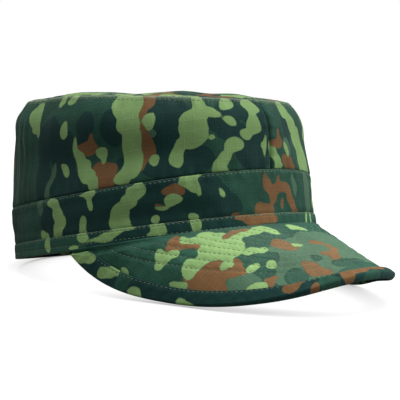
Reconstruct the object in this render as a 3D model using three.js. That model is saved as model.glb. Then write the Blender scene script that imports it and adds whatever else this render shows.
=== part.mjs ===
// A soft field cap with a flat top, a sewn band round its foot and a stiffened peak, standing by itself
// on the back of its hem and on the two low sides of its peak. Millimetres, +Z up, peak towards -Y.
import * as THREE from 'three';
import { mergeVertices } from 'three/addons/utils/BufferGeometryUtils.js';

// Oval that the head goes into, measured over the band: at its foot and at the seam on its upper edge
const foot_length = 199.1;
const foot_width = 172.3;
const seam_length = 200.2;
const seam_width = 172.4;

// Band: height at the front and back, how far its upper edge dips and its foot hangs at the sides
const band_height = 33.2;
const band_dip_height = 2.4;
const foot_hang_height = 1.3;
const band_thickness = 2.2;
const band_swell_depth = 0.9;

// Crown above the hem's plane: the top seam's height in front, behind and at the sides
const crown_front_height = 73.6;
const crown_back_height = 101.1;
const crown_side_height = 89.3;
const crown_lean_depth = 3.7;
const crown_forward_length = 4.7;
const shoulder_depth = 8.8;
const shoulder_power = 6;
const crown_thickness = 1.4;

// Top panel: its thickness, and how far the cloth domes over the seam
const top_thickness = 1.4;
const top_dome_height = 4.5;

// Strip bound over the foot of the band
const strip_height = 9.0;
const strip_thickness = 0.9;
const strip_corner_depth = 0.6;

// Peak: where it leaves the hem, its length, its slope in the middle and at the ends
const peak_join_height = 0.5;
const peak_length = 67.4;
const peak_half_turn_degrees = 75;
const peak_drop_degrees = 26.7;
const peak_drop_more_degrees = 27.4;
const peak_fan_share = -0.28;
const peak_square_power = 3.05;
const peak_round_power = 1.91;
const peak_thickness = 2.6;

// Strip bound over the peak's edge
const edge_width = 8.5;
const edge_thickness = 0.9;
const edge_clear_gap = 2.6;
const nose_bluntness = 0.6;

// Clearance between two pieces of cloth that a seam holds, and how far the resting points are pressed flat
const seam_gap = 0.3;
const rest_press_depth = 0.7;

// Mesh steps
const ring_steps = 72;
const wall_steps = 11;
const band_steps = 5;
const top_steps = 6;
const peak_steps = 36;
const peak_rows = 8;
const nose_steps = 4;

// Soft hollows (+) and swellings (-) of the crown: turn from the front in degrees, height and reach as
// shares of the wall, reach round the head in degrees, depth as a share of the crown's side height
const crown_dents = [
  { turn: 80, up: 0.34, reach: 0.22, round: 42, depth: 0.018 },
  { turn: 74, up: 0.78, reach: 0.16, round: 46, depth: -0.009 },
  { turn: 24, up: 0.55, reach: 0.24, round: 13, depth: 0.010 },
  { turn: -30, up: 0.50, reach: 0.26, round: 22, depth: 0.012 },
  { turn: -86, up: 0.36, reach: 0.22, round: 36, depth: 0.017 },
  { turn: 128, up: 0.60, reach: 0.25, round: 12, depth: 0.009 },
  { turn: -140, up: 0.48, reach: 0.26, round: 18, depth: 0.011 },
  { turn: 172, up: 0.42, reach: 0.24, round: 16, depth: 0.009 },
];

const mix = (from, to, share) => from + (to - from) * share;
const degrees = THREE.MathUtils.degToRad;

// Turn round the head: 0 at the middle of the front, a quarter turn at the wearer's right (-X).
function oval(turn, half_length, half_width, forward, height) {
  return new THREE.Vector3(
    -half_width * Math.sin(turn),
    -half_length * Math.cos(turn) - forward,
    height,
  );
}

// A height that is level at the front and back and lower by dip at the sides
const dipped = (turn, height, dip) => height - dip * Math.sin(turn) ** 2;

const hemHeight = (turn) => dipped(turn, 0, foot_hang_height);
const seamHeight = (turn) => dipped(turn, band_height, band_dip_height + foot_hang_height);

// The top seam's height at a share of the way out from the middle of the top: a tilted, saddled sheet
function topSeamHeight(turn, out) {
  const level = (crown_front_height + crown_back_height) / 2;
  const tilt = (crown_front_height - crown_back_height) / 2;
  const saddle = (level - crown_side_height) / 2;
  return level - saddle + tilt * out * Math.cos(turn) + saddle * out * out * Math.cos(2 * turn);
}

// Outside of the band; share is 0 at the hem and 1 at the upper seam. It swells a little above the strip.
function bandSurface(turn, share) {
  const swell = band_swell_depth * Math.sin(Math.PI * share) * Math.sin(Math.PI * (share - 0.3));
  return oval(
    turn,
    mix(foot_length, seam_length, share) / 2 + swell,
    mix(foot_width, seam_width, share) / 2 + swell,
    0,
    mix(hemHeight(turn), seamHeight(turn), share),
  );
}

// How far a turn and share lie into the crown's hollows, in millimetres
function dentDepth(turn, share) {
  let depth = 0;
  for (const dent of crown_dents) {
    const away = Math.atan2(Math.sin(turn - degrees(dent.turn)), Math.cos(turn - degrees(dent.turn)));
    const round = away / degrees(dent.round);
    const up = (share - dent.up) / dent.reach;
    depth += dent.depth * crown_side_height * Math.exp(-round * round - up * up);
  }
  return depth * Math.sin(Math.PI * Math.min(Math.max(share, 0), 1));
}

// Outside of the crown; share is 0 at the band's seam and 1 at the top seam, where it turns in as a shoulder.
function crownSurface(turn, share) {
  const inset = crown_lean_depth * share + shoulder_depth * share ** shoulder_power + dentDepth(turn, share);
  return oval(
    turn,
    seam_length / 2 - inset,
    seam_width / 2 - inset,
    crown_forward_length * share,
    mix(seamHeight(turn) + seam_gap, topSeamHeight(turn, 1) - top_thickness - seam_gap, share),
  );
}

// Upper face of the top panel; out is 0 at its middle and 1 at the seam
function topSurface(turn, out) {
  const flat = crownSurface(turn, 1);
  const middle = new THREE.Vector3(0, -crown_forward_length, 0);
  const dome = top_dome_height * (1 - out ** 2.4);
  return new THREE.Vector3(
    mix(middle.x, flat.x, out),
    mix(middle.y, flat.y, out),
    topSeamHeight(turn, out) + dome,
  );
}

// Unit normal of a surface(a, b), from its two tangents
function normalOf(surface, a, b, step) {
  const along = surface(a + step, b).sub(surface(a - step, b));
  const across = surface(a, b + step).sub(surface(a, b - step));
  return along.cross(across).normalize();
}

// A wall's normal, turned to point away from the head
function outward(surface, turn, share) {
  const normal = normalOf(surface, turn, share, 1e-3);
  const away = oval(turn, 1, 1, 0, 0);
  return normal.dot(away) < 0 ? normal.negate() : normal;
}

// Level direction straight out from the band's oval
function levelOut(turn) {
  const normal = outward(bandSurface, turn, 0);
  return normal.setZ(0).normalize();
}

// Two equal rows of points make one section; sections side by side make a closed skin. A ring joins its
// last section to its first, and an open run is closed at both ends.
function skin(sections, ring) {
  const positions = [];
  const index = [];
  const rows = sections[0].outer.length;
  const loop = 2 * rows;
  for (const section of sections)
    for (const point of [...section.outer, ...[...section.inner].reverse()])
      positions.push(point.x, point.y, point.z);
  const spans = ring ? sections.length : sections.length - 1;
  for (let s = 0; s < spans; s++) {
    const here = s * loop;
    const next = ((s + 1) % sections.length) * loop;
    for (let i = 0; i < loop; i++) {
      const j = (i + 1) % loop;
      index.push(here + i, next + i, next + j, here + i, next + j, here + j);
    }
  }
  if (!ring)
    for (const [start, flip] of [[0, false], [(sections.length - 1) * loop, true]])
      for (let i = 0; i < rows - 1; i++) {
        const [a, b] = [start + i, start + i + 1];
        const [c, d] = [start + loop - 2 - i, start + loop - 1 - i];
        if (flip) index.push(a, c, b, a, d, c);
        else index.push(a, b, c, a, c, d);
      }
  return closed(positions, index);
}

// Merges shared corners, drops triangles that have shrunk to a line, and turns the faces outwards
function closed(positions, index) {
  const loose = new THREE.BufferGeometry();
  loose.setAttribute('position', new THREE.Float32BufferAttribute(positions, 3));
  loose.setIndex(index);
  const geometry = mergeVertices(loose, 1e-3);
  const corners = geometry.index.array;
  const at = (i) => new THREE.Vector3().fromBufferAttribute(geometry.attributes.position, i);
  const kept = [];
  let volume = 0;
  for (let i = 0; i < corners.length; i += 3) {
    const [a, b, c] = corners.slice(i, i + 3);
    if (a === b || b === c || c === a) continue;
    kept.push(a, b, c);
    volume += at(a).dot(at(b).cross(at(c)));
  }
  if (volume < 0)
    for (let i = 0; i < kept.length; i += 3) [kept[i + 1], kept[i + 2]] = [kept[i + 2], kept[i + 1]];
  geometry.setIndex(kept);
  geometry.computeVertexNormals();
  return geometry;
}

// A section of a wall of even thickness under a surface, from one share to another
function wallSection(surface, turn, thickness, from, to, steps) {
  const outer = [];
  const inner = [];
  for (let i = 0; i <= steps; i++) {
    const share = mix(from, to, i / steps);
    const point = surface(turn, share);
    outer.push(point);
    inner.push(point.clone().addScaledVector(outward(surface, turn, share), -thickness));
  }
  return { outer, inner };
}

// Turns half a step off the middle, so that one flat facet of the hem lies across the middle of the back
const turnsRound = Array.from({ length: ring_steps }, (_, i) => ((i + 0.5) / ring_steps) * 2 * Math.PI);

// Band: one ring of doubled cloth, its foot held in the bound strip
function bandGeometry() {
  return skin(
    turnsRound.map((turn) => {
      const height = seamHeight(turn) - hemHeight(turn);
      const lowest = (strip_thickness + seam_gap) / height;
      return wallSection(bandSurface, turn, band_thickness, lowest, 1, band_steps);
    }),
    true,
  );
}

// One half of the crown's wall, from the seam in the middle of the front to the one behind
function crownHalfGeometry(side) {
  const half = ring_steps / 2;
  const start = Math.asin(seam_gap / 2 / (seam_width / 2 - crown_lean_depth - shoulder_depth));
  const sections = [];
  for (let i = 0; i <= half; i++) {
    const turn = side * mix(start, Math.PI - start, i / half);
    sections.push(wallSection(crownSurface, turn, crown_thickness, 0, 1, wall_steps));
  }
  return skin(sections, false);
}

// Top panel: an oval of cloth seated on the wall's upper edge and domed a little
function topGeometry() {
  const sections = turnsRound.map((turn) => {
    const outer = [];
    const inner = [];
    for (let i = 0; i <= top_steps; i++) {
      const out = 1 - i / top_steps;
      const point = topSurface(turn, out);
      outer.push(point);
      inner.push(point.clone().setZ(point.z - top_thickness));
    }
    return { outer, inner };
  });
  return skin(sections, true);
}

// Strip bound over the band's foot: an upright U in section
function hemStripGeometry() {
  const out = seam_gap + strip_thickness;
  const into = -band_thickness - seam_gap;
  const outerRow = [
    [out, strip_height], [out, strip_height / 2], [out, strip_corner_depth], [out - strip_corner_depth, 0],
    [into - strip_thickness + strip_corner_depth, 0], [into - strip_thickness, strip_corner_depth],
    [into - strip_thickness, strip_height / 2], [into - strip_thickness, strip_height],
  ];
  const innerRow = [
    [seam_gap, strip_height], [seam_gap, strip_height / 2], [seam_gap, strip_thickness],
    [seam_gap, strip_thickness], [into, strip_thickness], [into, strip_thickness],
    [into, strip_height / 2], [into, strip_height],
  ];
  const sections = turnsRound.map((turn) => {
    const place = ([across, up]) => stripPoint(turn, across, up);
    return { outer: outerRow.map(place), inner: innerRow.map(place) };
  });
  return skin(sections, true);
}

// A point across millimetres out from the band's surface and up millimetres above the hem
function stripPoint(turn, across, up) {
  const share = up / (seamHeight(turn) - hemHeight(turn));
  return bandSurface(turn, share).addScaledVector(levelOut(turn), across);
}

// Under face of the peak; place is {u, r}: u from -1 to 1 along the hem, r millimetres out along the
// straight line that leaves the hem there. The lines drop more steeply towards the ends.
function peakUnder({ u, r }) {
  const turn = u * degrees(peak_half_turn_degrees);
  const root = stripPoint(turn, strip_thickness + 2 * seam_gap, peak_join_height);
  const drop = degrees(peak_drop_degrees + peak_drop_more_degrees * u * u);
  const fan = peak_fan_share * turn;
  const line = new THREE.Vector3(
    -Math.sin(fan) * Math.cos(drop),
    -Math.cos(fan) * Math.cos(drop),
    -Math.sin(drop),
  );
  return root.addScaledVector(line, r);
}

// The peak's two tangents at a place, and its normal, which points up and out
function peakFrame({ u, r }) {
  const step = 1e-3;
  const ahead = peakUnder({ u: u + step, r });
  const alongHem = ahead.sub(peakUnder({ u: u - step, r })).divideScalar(2 * step);
  const outLine = peakUnder({ u, r: r + 1 }).sub(peakUnder({ u, r }));
  const normal = alongHem.clone().cross(outLine).normalize();
  return { alongHem, outLine, normal };
}

// A point of the peak raised by lift above its under face
function peakPoint(place, lift) {
  return peakUnder(place).addScaledVector(peakFrame(place).normal, lift);
}

// The peak's outline is a squared oval in u and r; sweep runs from one end (0) round to the other (pi).
function peakOutline(sweep) {
  const [c, s] = [Math.cos(sweep), Math.sin(sweep)];
  return {
    u: Math.sign(c) * Math.abs(c) ** (2 / peak_square_power),
    r: peak_length * s ** (2 / peak_round_power),
  };
}

// Sweeps at even distances along the outline, from where it lies edge_clear_gap out from the hem at one end
// to the same place at the other
function evenSweeps() {
  const start = Math.asin((edge_clear_gap / peak_length) ** (peak_round_power / 2));
  const fine = Array.from({ length: 601 }, (_, i) => mix(start, Math.PI - start, i / 600));
  const run = [0];
  for (let i = 1; i < fine.length; i++) {
    const step = peakUnder(peakOutline(fine[i])).distanceTo(peakUnder(peakOutline(fine[i - 1])));
    run.push(run[i - 1] + step);
  }
  const even = [];
  for (let i = 0; i <= peak_steps; i++) {
    const goal = (run[600] * i) / peak_steps;
    const at = Math.min(Math.max(run.findIndex((value) => value >= goal), 1), 600);
    even.push(mix(fine[at - 1], fine[at], (goal - run[at - 1]) / (run[at] - run[at - 1])));
  }
  return even;
}

const sweeps = evenSweeps();

// Peak: two layers of cloth over a stiffener, closed by the strip round its edge
function peakGeometry() {
  const sections = sweeps.map((sweep) => {
    const edge = peakOutline(sweep);
    const outer = [];
    const inner = [];
    for (let i = 0; i <= peak_rows; i++) {
      const place = { u: edge.u, r: (edge.r * i) / peak_rows };
      inner.push(peakUnder(place));
      outer.push(i ? peakPoint(place, peak_thickness) : peakRoot(place));
    }
    return { outer, inner };
  });
  return skin(sections, false);
}

// The upper face's root stands straight up beside the hem's strip where the peak leaves it steeply
function peakRoot(place) {
  const { normal } = peakFrame(place);
  const away = levelOut(place.u * degrees(peak_half_turn_degrees));
  const lean = normal.dot(away);
  const rise = normal.addScaledVector(away, -lean * (1 - lean * lean));
  return peakUnder(place).addScaledVector(rise, peak_thickness);
}

// Walks over the peak's face from a place, in a straight direction, for a distance
function walkOnPeak(place, direction, distance) {
  const steps = 4;
  const { u, r } = place;
  const here = { u, r };
  for (let i = 0; i < steps; i++) {
    const { alongHem: a, outLine: b } = peakFrame(here);
    const [aa, ab, bb] = [a.dot(a), a.dot(b), b.dot(b)];
    const [ad, bd] = [a.dot(direction), b.dot(direction)];
    const size = (distance / steps) / (aa * bb - ab * ab);
    here.u += (ad * bb - bd * ab) * size;
    here.r += (bd * aa - ad * ab) * size;
  }
  return here;
}

// Strip bound over the peak's edge: a U lying on its side, with a round nose, whose legs taper at the ends
function edgeStripGeometry() {
  const low = -seam_gap;
  const high = peak_thickness + seam_gap;
  const middle = peak_thickness / 2;
  const nose = peak_thickness / 2 + seam_gap + edge_thickness;
  const sections = sweeps.map((sweep) => {
    const edge = peakOutline(sweep);
    const step = 1e-3;
    const ahead = peakUnder(peakOutline(Math.min(sweep + step, Math.PI)));
    const along = ahead.sub(peakUnder(peakOutline(sweep - step))).normalize();
    const { normal } = peakFrame(edge);
    const into = normal.clone().cross(along).normalize();

    // The legs stop short of the hem: a full leg's end shows how fast they near it
    const far = walkOnPeak(edge, into, edge_width);
    const room = (edge.r - edge_clear_gap * 0.8) / Math.max(edge.r - far.r, 1e-6);
    const width = edge_width * (far.r < edge_clear_gap * 0.8 ? Math.max(room, 0.08) : 1);
    const legs = [width, width / 2].map((distance) => walkOnPeak(edge, into, distance));

    const outer = legs.map((place) => peakPoint(place, high + edge_thickness));
    const inner = legs.map((place) => peakPoint(place, high));
    for (let i = 0; i <= nose_steps; i++) {
      const swing = Math.PI * (0.5 - i / nose_steps);
      const nosePoint = peakPoint(edge, middle + nose * Math.sin(swing));
      outer.push(nosePoint.addScaledVector(into, -nose * nose_bluntness * Math.cos(swing)));
      inner.push(
        peakPoint(edge, i < nose_steps / 2 ? high : i > nose_steps / 2 ? low : middle)
          .addScaledVector(into, -seam_gap),
      );
    }
    for (const place of [...legs].reverse()) {
      outer.push(peakPoint(place, low - edge_thickness));
      inner.push(peakPoint(place, low));
    }
    return { outer, inner };
  });
  return skin(sections, false);
}

// Cloth colours, by the shade that each piece shows most
const cloth = (color) => new THREE.MeshStandardMaterial({ color, roughness: 0.9, metalness: 0 });

function piece(name, geometry, color) {
  const mesh = new THREE.Mesh(geometry, cloth(color));
  mesh.name = name;
  return mesh;
}

const cap = new THREE.Group();
cap.add(
  piece('crown_top', topGeometry(), 0x2f5548),
  piece('crown_side_right', crownHalfGeometry(1), 0x24463d),
  piece('crown_side_left', crownHalfGeometry(-1), 0x2d5a4e),
  piece('band', bandGeometry(), 0x1f3f3a),
  piece('hem_strip', hemStripGeometry(), 0x23453f),
  piece('peak', peakGeometry(), 0x4a7a5c),
  piece('peak_edge_strip', edgeStripGeometry(), 0x1f3d3b),
);

// Lowest height of some meshes when the cap is tipped back by an angle
function lowest(meshes, tip) {
  const down = new THREE.Vector3(0, Math.sin(tip), Math.cos(tip));
  const point = new THREE.Vector3();
  let height = Infinity;
  for (const mesh of meshes)
    for (let i = 0; i < mesh.geometry.attributes.position.count; i++)
      height = Math.min(height, point.fromBufferAttribute(mesh.geometry.attributes.position, i).dot(down));
  return height;
}

// The tip at which the back of the hem and the low sides of the peak meet one level surface
function restingTip() {
  const hem = [cap.getObjectByName('hem_strip')];
  const peakPieces = [cap.getObjectByName('peak'), cap.getObjectByName('peak_edge_strip')];
  let [level, steep] = [0, Math.PI / 4];
  for (let i = 0; i < 40; i++) {
    const tip = (level + steep) / 2;
    if (lowest(peakPieces, -tip) < lowest(hem, -tip)) level = tip;
    else steep = tip;
  }
  return -level;
}

// Cloth that would sink under the surface is pressed flat on it
function pressFlat(tip) {
  const up = new THREE.Vector3(0, Math.sin(tip), Math.cos(tip));
  const floor = lowest(cap.children, tip) + rest_press_depth;
  const point = new THREE.Vector3();
  for (const mesh of cap.children) {
    const position = mesh.geometry.attributes.position;
    for (let i = 0; i < position.count; i++) {
      point.fromBufferAttribute(position, i);
      point.addScaledVector(up, Math.max(floor - point.dot(up), 0));
      position.setXYZ(i, point.x, point.y, point.z);
    }
    mesh.geometry.computeVertexNormals();
  }
}

const tip = restingTip();
pressFlat(tip);
cap.rotation.x = tip;

// The frame's origin is the middle of the cap's own box, on the surface that it stands on
const standing = new THREE.Group();
standing.add(cap);
const box = new THREE.Box3().setFromObject(standing, true);
cap.position.set(-(box.min.x + box.max.x) / 2, -(box.min.y + box.max.y) / 2, -box.min.z);

export default standing;
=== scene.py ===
import math

import bpy
import numpy as np
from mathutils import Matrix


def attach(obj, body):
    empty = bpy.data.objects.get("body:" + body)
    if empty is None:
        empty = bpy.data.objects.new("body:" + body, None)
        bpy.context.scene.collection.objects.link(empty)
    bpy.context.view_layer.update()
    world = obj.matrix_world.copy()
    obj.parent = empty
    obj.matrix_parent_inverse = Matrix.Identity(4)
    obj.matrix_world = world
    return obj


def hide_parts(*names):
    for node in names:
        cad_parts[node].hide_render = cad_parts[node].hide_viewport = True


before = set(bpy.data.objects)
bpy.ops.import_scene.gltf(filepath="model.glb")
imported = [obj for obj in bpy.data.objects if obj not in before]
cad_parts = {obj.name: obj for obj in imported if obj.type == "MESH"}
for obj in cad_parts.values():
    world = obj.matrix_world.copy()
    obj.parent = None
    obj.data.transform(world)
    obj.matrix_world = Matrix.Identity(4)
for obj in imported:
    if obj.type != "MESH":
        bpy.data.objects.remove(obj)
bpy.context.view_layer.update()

# =============================================================================
# Crown wall: two halves of printed ripstop cloth, joined by an upright seam in
# front and behind. Each is cut on a curve, sewn to the band below and to the
# flat top above, and stands up by its own stiffness with a few soft hollows.
# =============================================================================

# Millimetres, in the cap's own frame: hem in the plane z = 0, peak towards -Y
SEAM_LENGTH, SEAM_WIDTH = 200.2, 172.4
FOOT_LENGTH, FOOT_WIDTH = 199.1, 172.3
BAND_HEIGHT, BAND_DIP, FOOT_HANG, BAND_SWELL = 33.2, 2.4, 1.3, 0.9
CROWN_FRONT, CROWN_BACK, CROWN_SIDE = 73.6, 101.1, 89.3
CROWN_LEAN, CROWN_FORWARD, CROWN_CLOTH = 3.7, 4.7, 1.4
SHOULDER, SHOULDER_POWER, RIM_RISE = 8.8, 6, 1.25
TOP_CLOTH, SEAM_GAP = 1.4, 0.3

# How the cap stands: tipped back about X, then moved on to the surface
TIP = math.radians(-10.648489422251258)
STOOD_AT = np.array([0.0, 29.79783201116038, 17.79081548615464])

# Hollows (+) and swellings (-): turn, height and reach as shares of the wall,
# reach round the head in degrees, depth as a share of the crown's side height
HOLLOWS = [
    (80, 0.34, 0.22, 42, 0.018), (74, 0.78, 0.16, 46, -0.009),
    (24, 0.55, 0.24, 13, 0.010), (-30, 0.50, 0.26, 22, 0.012),
    (-86, 0.36, 0.22, 36, 0.017), (128, 0.60, 0.25, 12, 0.009),
    (-140, 0.48, 0.26, 18, 0.011), (172, 0.42, 0.24, 16, 0.009),
]


def points(x, y, z):
    """Three arrays of coordinates, stacked into one array of points."""
    return np.stack(np.broadcast_arrays(x, y, z), -1)


def unit(vectors):
    """Vectors at unit length."""
    return vectors / np.linalg.norm(vectors, axis=-1, keepdims=True)


def bell(where, middle, reach):
    """Bell curve: 1 at the middle, and 1/e at reach from it."""
    return np.exp(-(((where - middle) / reach) ** 2))


def gone_along(line):
    """How far along a line each of its points is, from 0."""
    return np.concatenate([[0], np.cumsum(np.linalg.norm(np.diff(line, axis=0), axis=1))])


def put(name, data):
    """An object with this data, at the origin of the scene."""
    thing = bpy.data.objects.new(name, data)
    bpy.context.scene.collection.objects.link(thing)
    return thing


def standing(cloth):
    """Cap frame in mm to the row frame in metres: turned by TIP about X, moved to
    STOOD_AT, and pressed flat where the cloth would sink under the surface."""
    c, s = math.cos(TIP), math.sin(TIP)
    x, y, z = cloth[..., 0], cloth[..., 1], cloth[..., 2]
    stood = points(x, y * c - z * s, y * s + z * c) + STOOD_AT
    stood[..., 2] = np.maximum(stood[..., 2], 0.02)
    return stood / 1000


def oval(turn, half_length, half_width, forward, height):
    """A level oval; turn is 0 at the middle of the front and grows to the wearer's right."""
    return points(-half_width * np.sin(turn), -half_length * np.cos(turn) - forward, height)


def hem_height(turn):
    """Hem: level in front and behind, FOOT_HANG lower at the sides."""
    return -FOOT_HANG * np.sin(turn) ** 2


def seam_height(turn):
    """Band's upper seam: level in front and behind, lower at the sides."""
    return BAND_HEIGHT - (BAND_DIP + FOOT_HANG) * np.sin(turn) ** 2


def top_seam_height(turn, out):
    """Top seam: a sheet tilted front to back and saddled side to side."""
    level, tilt = (CROWN_FRONT + CROWN_BACK) / 2, (CROWN_FRONT - CROWN_BACK) / 2
    saddle = (level - CROWN_SIDE) / 2
    return level - saddle + tilt * out * np.cos(turn) + saddle * out**2 * np.cos(2 * turn)


def wall_height(turn):
    """Height of the crown's wall between its two seams."""
    return top_seam_height(turn, 1) - TOP_CLOTH - seam_height(turn) - 2 * SEAM_GAP


def band_shape(turn, share):
    """Band: oval from the hem's size to the seam's, with a soft swell above the hem strip."""
    swell = BAND_SWELL * np.sin(np.pi * share) * np.sin(np.pi * (share - 0.3))
    return oval(
        turn,
        (FOOT_LENGTH + (SEAM_LENGTH - FOOT_LENGTH) * share) / 2 + swell,
        (FOOT_WIDTH + (SEAM_WIDTH - FOOT_WIDTH) * share) / 2 + swell,
        0,
        hem_height(turn) + (seam_height(turn) - hem_height(turn)) * share,
    )


def crown_shape(turn, share):
    """Wall: the seam's oval, leaning in evenly, turning in sharply at the shoulder as
    share to the power SHOULDER_POWER, less the hollows, which are bell curves."""
    depth = 0
    for at, up, reach, round_it, deep in HOLLOWS:
        away = np.angle(np.exp(1j * (turn - math.radians(at)))) / math.radians(round_it)
        depth = depth + deep * CROWN_SIDE * bell(away, 0, 1) * bell(share, up, reach)
    depth = depth * np.sin(np.pi * np.clip(share, 0, 1))
    inset = CROWN_LEAN * share + SHOULDER * np.abs(share) ** SHOULDER_POWER + depth
    low = seam_height(turn) + SEAM_GAP
    high = top_seam_height(turn, 1) - TOP_CLOTH - SEAM_GAP
    return oval(
        turn, SEAM_LENGTH / 2 - inset, SEAM_WIDTH / 2 - inset,
        CROWN_FORWARD * share, low + (high - low) * share,
    )


def facing(shape, a, b, side, step_a=1e-3, step_b=1e-3):
    """Unit normal of shape(a, b): its two tangents' cross product, times side."""
    along = shape(a + step_a, b) - shape(a - step_a, b)
    across = shape(a, b + step_b) - shape(a, b - step_b)
    return unit(np.cross(along, across) * side)


# Distance along the band's upper seam from the middle of the front, for each turn
turn_table = np.linspace(-np.pi, np.pi, 3601)
seam_run = gone_along(band_shape(turn_table, 1.0))
seam_run -= seam_run[len(turn_table) // 2]
HALF_ROUND = seam_run[-1]


def along_of(turn):
    """Turn to millimetres along the seam, which go on past the middle of the back."""
    laps = np.round(turn / (2 * np.pi))
    return np.interp(turn - laps * 2 * np.pi, turn_table, seam_run) + laps * 2 * HALF_ROUND


def turn_of(along):
    """Millimetres along the seam to the turn."""
    return np.interp(along, seam_run, turn_table)


def long_waves(seed, count, shortest, longest, size):
    """Seeded waves of cloth: rows of waves per mm along, waves per mm up, phase and height.
    A longer wave is a higher one. Along the seam each goes a whole number of times round."""
    draw = np.random.default_rng(seed)
    length = shortest * (longest / shortest) ** draw.random(count)
    lean = draw.normal(0, 0.55, count)
    round_it = np.round(np.cos(lean) / length * 2 * HALF_ROUND) / (2 * HALF_ROUND)
    height = size * (length / longest) * draw.choice([-1, 1], count)
    return np.stack([round_it, np.sin(lean) / length, draw.random(count), height], 1)


def unevenness(waves, along, up):
    """Sum of the waves' cosines at a place on the cloth."""
    total = 0
    for round_it, rise, phase, height in waves:
        total = total + height * np.cos(2 * np.pi * (along * round_it + up * rise + phase))
    return total


def pucker(along, pitch, wander, phase):
    """Small gathers beside a seam: a cosine whose pitch drifts as it goes round."""
    drift = wander * np.sin(along * 2 * np.pi / 61 + phase) + 0.6 * np.sin(along * 2 * np.pi / 23.7)
    return np.cos(2 * np.pi * along / pitch + drift + phase)


# The sag's depth, and its middle and reach along the seam
RIM_SAG, SAG_ALONG, SAG_REACH = 1.4, 172, 27


def rim_sag(turn):
    """How far the rim sags behind on the wearer's right: a bell curve along the seam."""
    return RIM_SAG * bell(along_of(turn), SAG_ALONG, SAG_REACH)


crown_waves = long_waves(4107, 22, 16, 95, 0.42)

# Soft folds beyond the hollows: height in mm, middle and reach along the seam in mm, middle
# and reach as shares of the wall's height
CROWN_FOLDS = [(-3.0, 84, 38, 0.30, 0.20), (2.3, 38, 14, 0.50, 0.36), (1.5, 186, 26, 0.84, 0.11)]
SIDE_PULL, SIDE_ALONG, SIDE_REACH, SEAM_GROOVE = 1.3, -66, 32, 2.0


def crown_folds(turn, share):
    """How far the wall's cloth stands proud: long waves, gathers fading in a few mm from
    both seams and behind on the right, soft folds, the left side pulled in, both edges
    tucked in, and a groove with two soft ridges at each upright seam."""
    along, up = along_of(turn), share * wall_height(turn)
    down = wall_height(turn) - up
    from_seam = np.minimum(np.abs(along), np.abs(np.abs(along) - HALF_ROUND))
    rise = unevenness(crown_waves, along, up) * (1 - np.exp(-up / 9)) * (1 - np.exp(-down / 7))
    rise = rise + 0.26 * pucker(along, 8.3, 1.6, 0.4) * bell(up, 1.5, 4.5)
    rise = rise + 0.22 * pucker(along, 9.6, 1.9, 2.1) * bell(down, 3.0, 3.6)
    rise = rise + 0.16 * pucker(along, 9.4, 1.3, 0.7) * bell(along, 170, 32)
    for height, middle, reach, middle_up, reach_up in CROWN_FOLDS:
        rise = rise + height * bell(along, middle, reach) * bell(share, middle_up, reach_up)
    pulled_in = SIDE_PULL * bell(along, SIDE_ALONG, SIDE_REACH)
    rise = rise - pulled_in * (1 - np.exp(-up / 9)) * (1 - np.exp(-down / 6))
    rise = rise - 0.25 * np.exp(-up / 0.6) - 0.3 * np.exp(-down / 0.6) - 0.16 * bell(down, 2.0, 0.7)
    rise = rise + (0.22 + 0.2 * pucker(up, 6.1, 1.0, 0.9)) * bell(from_seam, 2.6, 2.0)
    return rise - SEAM_GROOVE * np.exp(-from_seam)


def crown_cloth(turn, share):
    """Outside of the wall's cloth: its shape, moved out by its folds, and drawn up within a
    few mm of the top seam, so that its edge meets the top panel's, less the rim's sag."""
    lift = crown_folds(turn, share)[..., None]
    drawn_up = RIM_RISE * bell((1 - share) * wall_height(turn), 0, 3.2)
    shape = crown_shape(turn, share) + facing(crown_shape, turn, share, -1) * lift
    return shape + points(0, 0, drawn_up - rim_sag(turn) * share**4)


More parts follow.
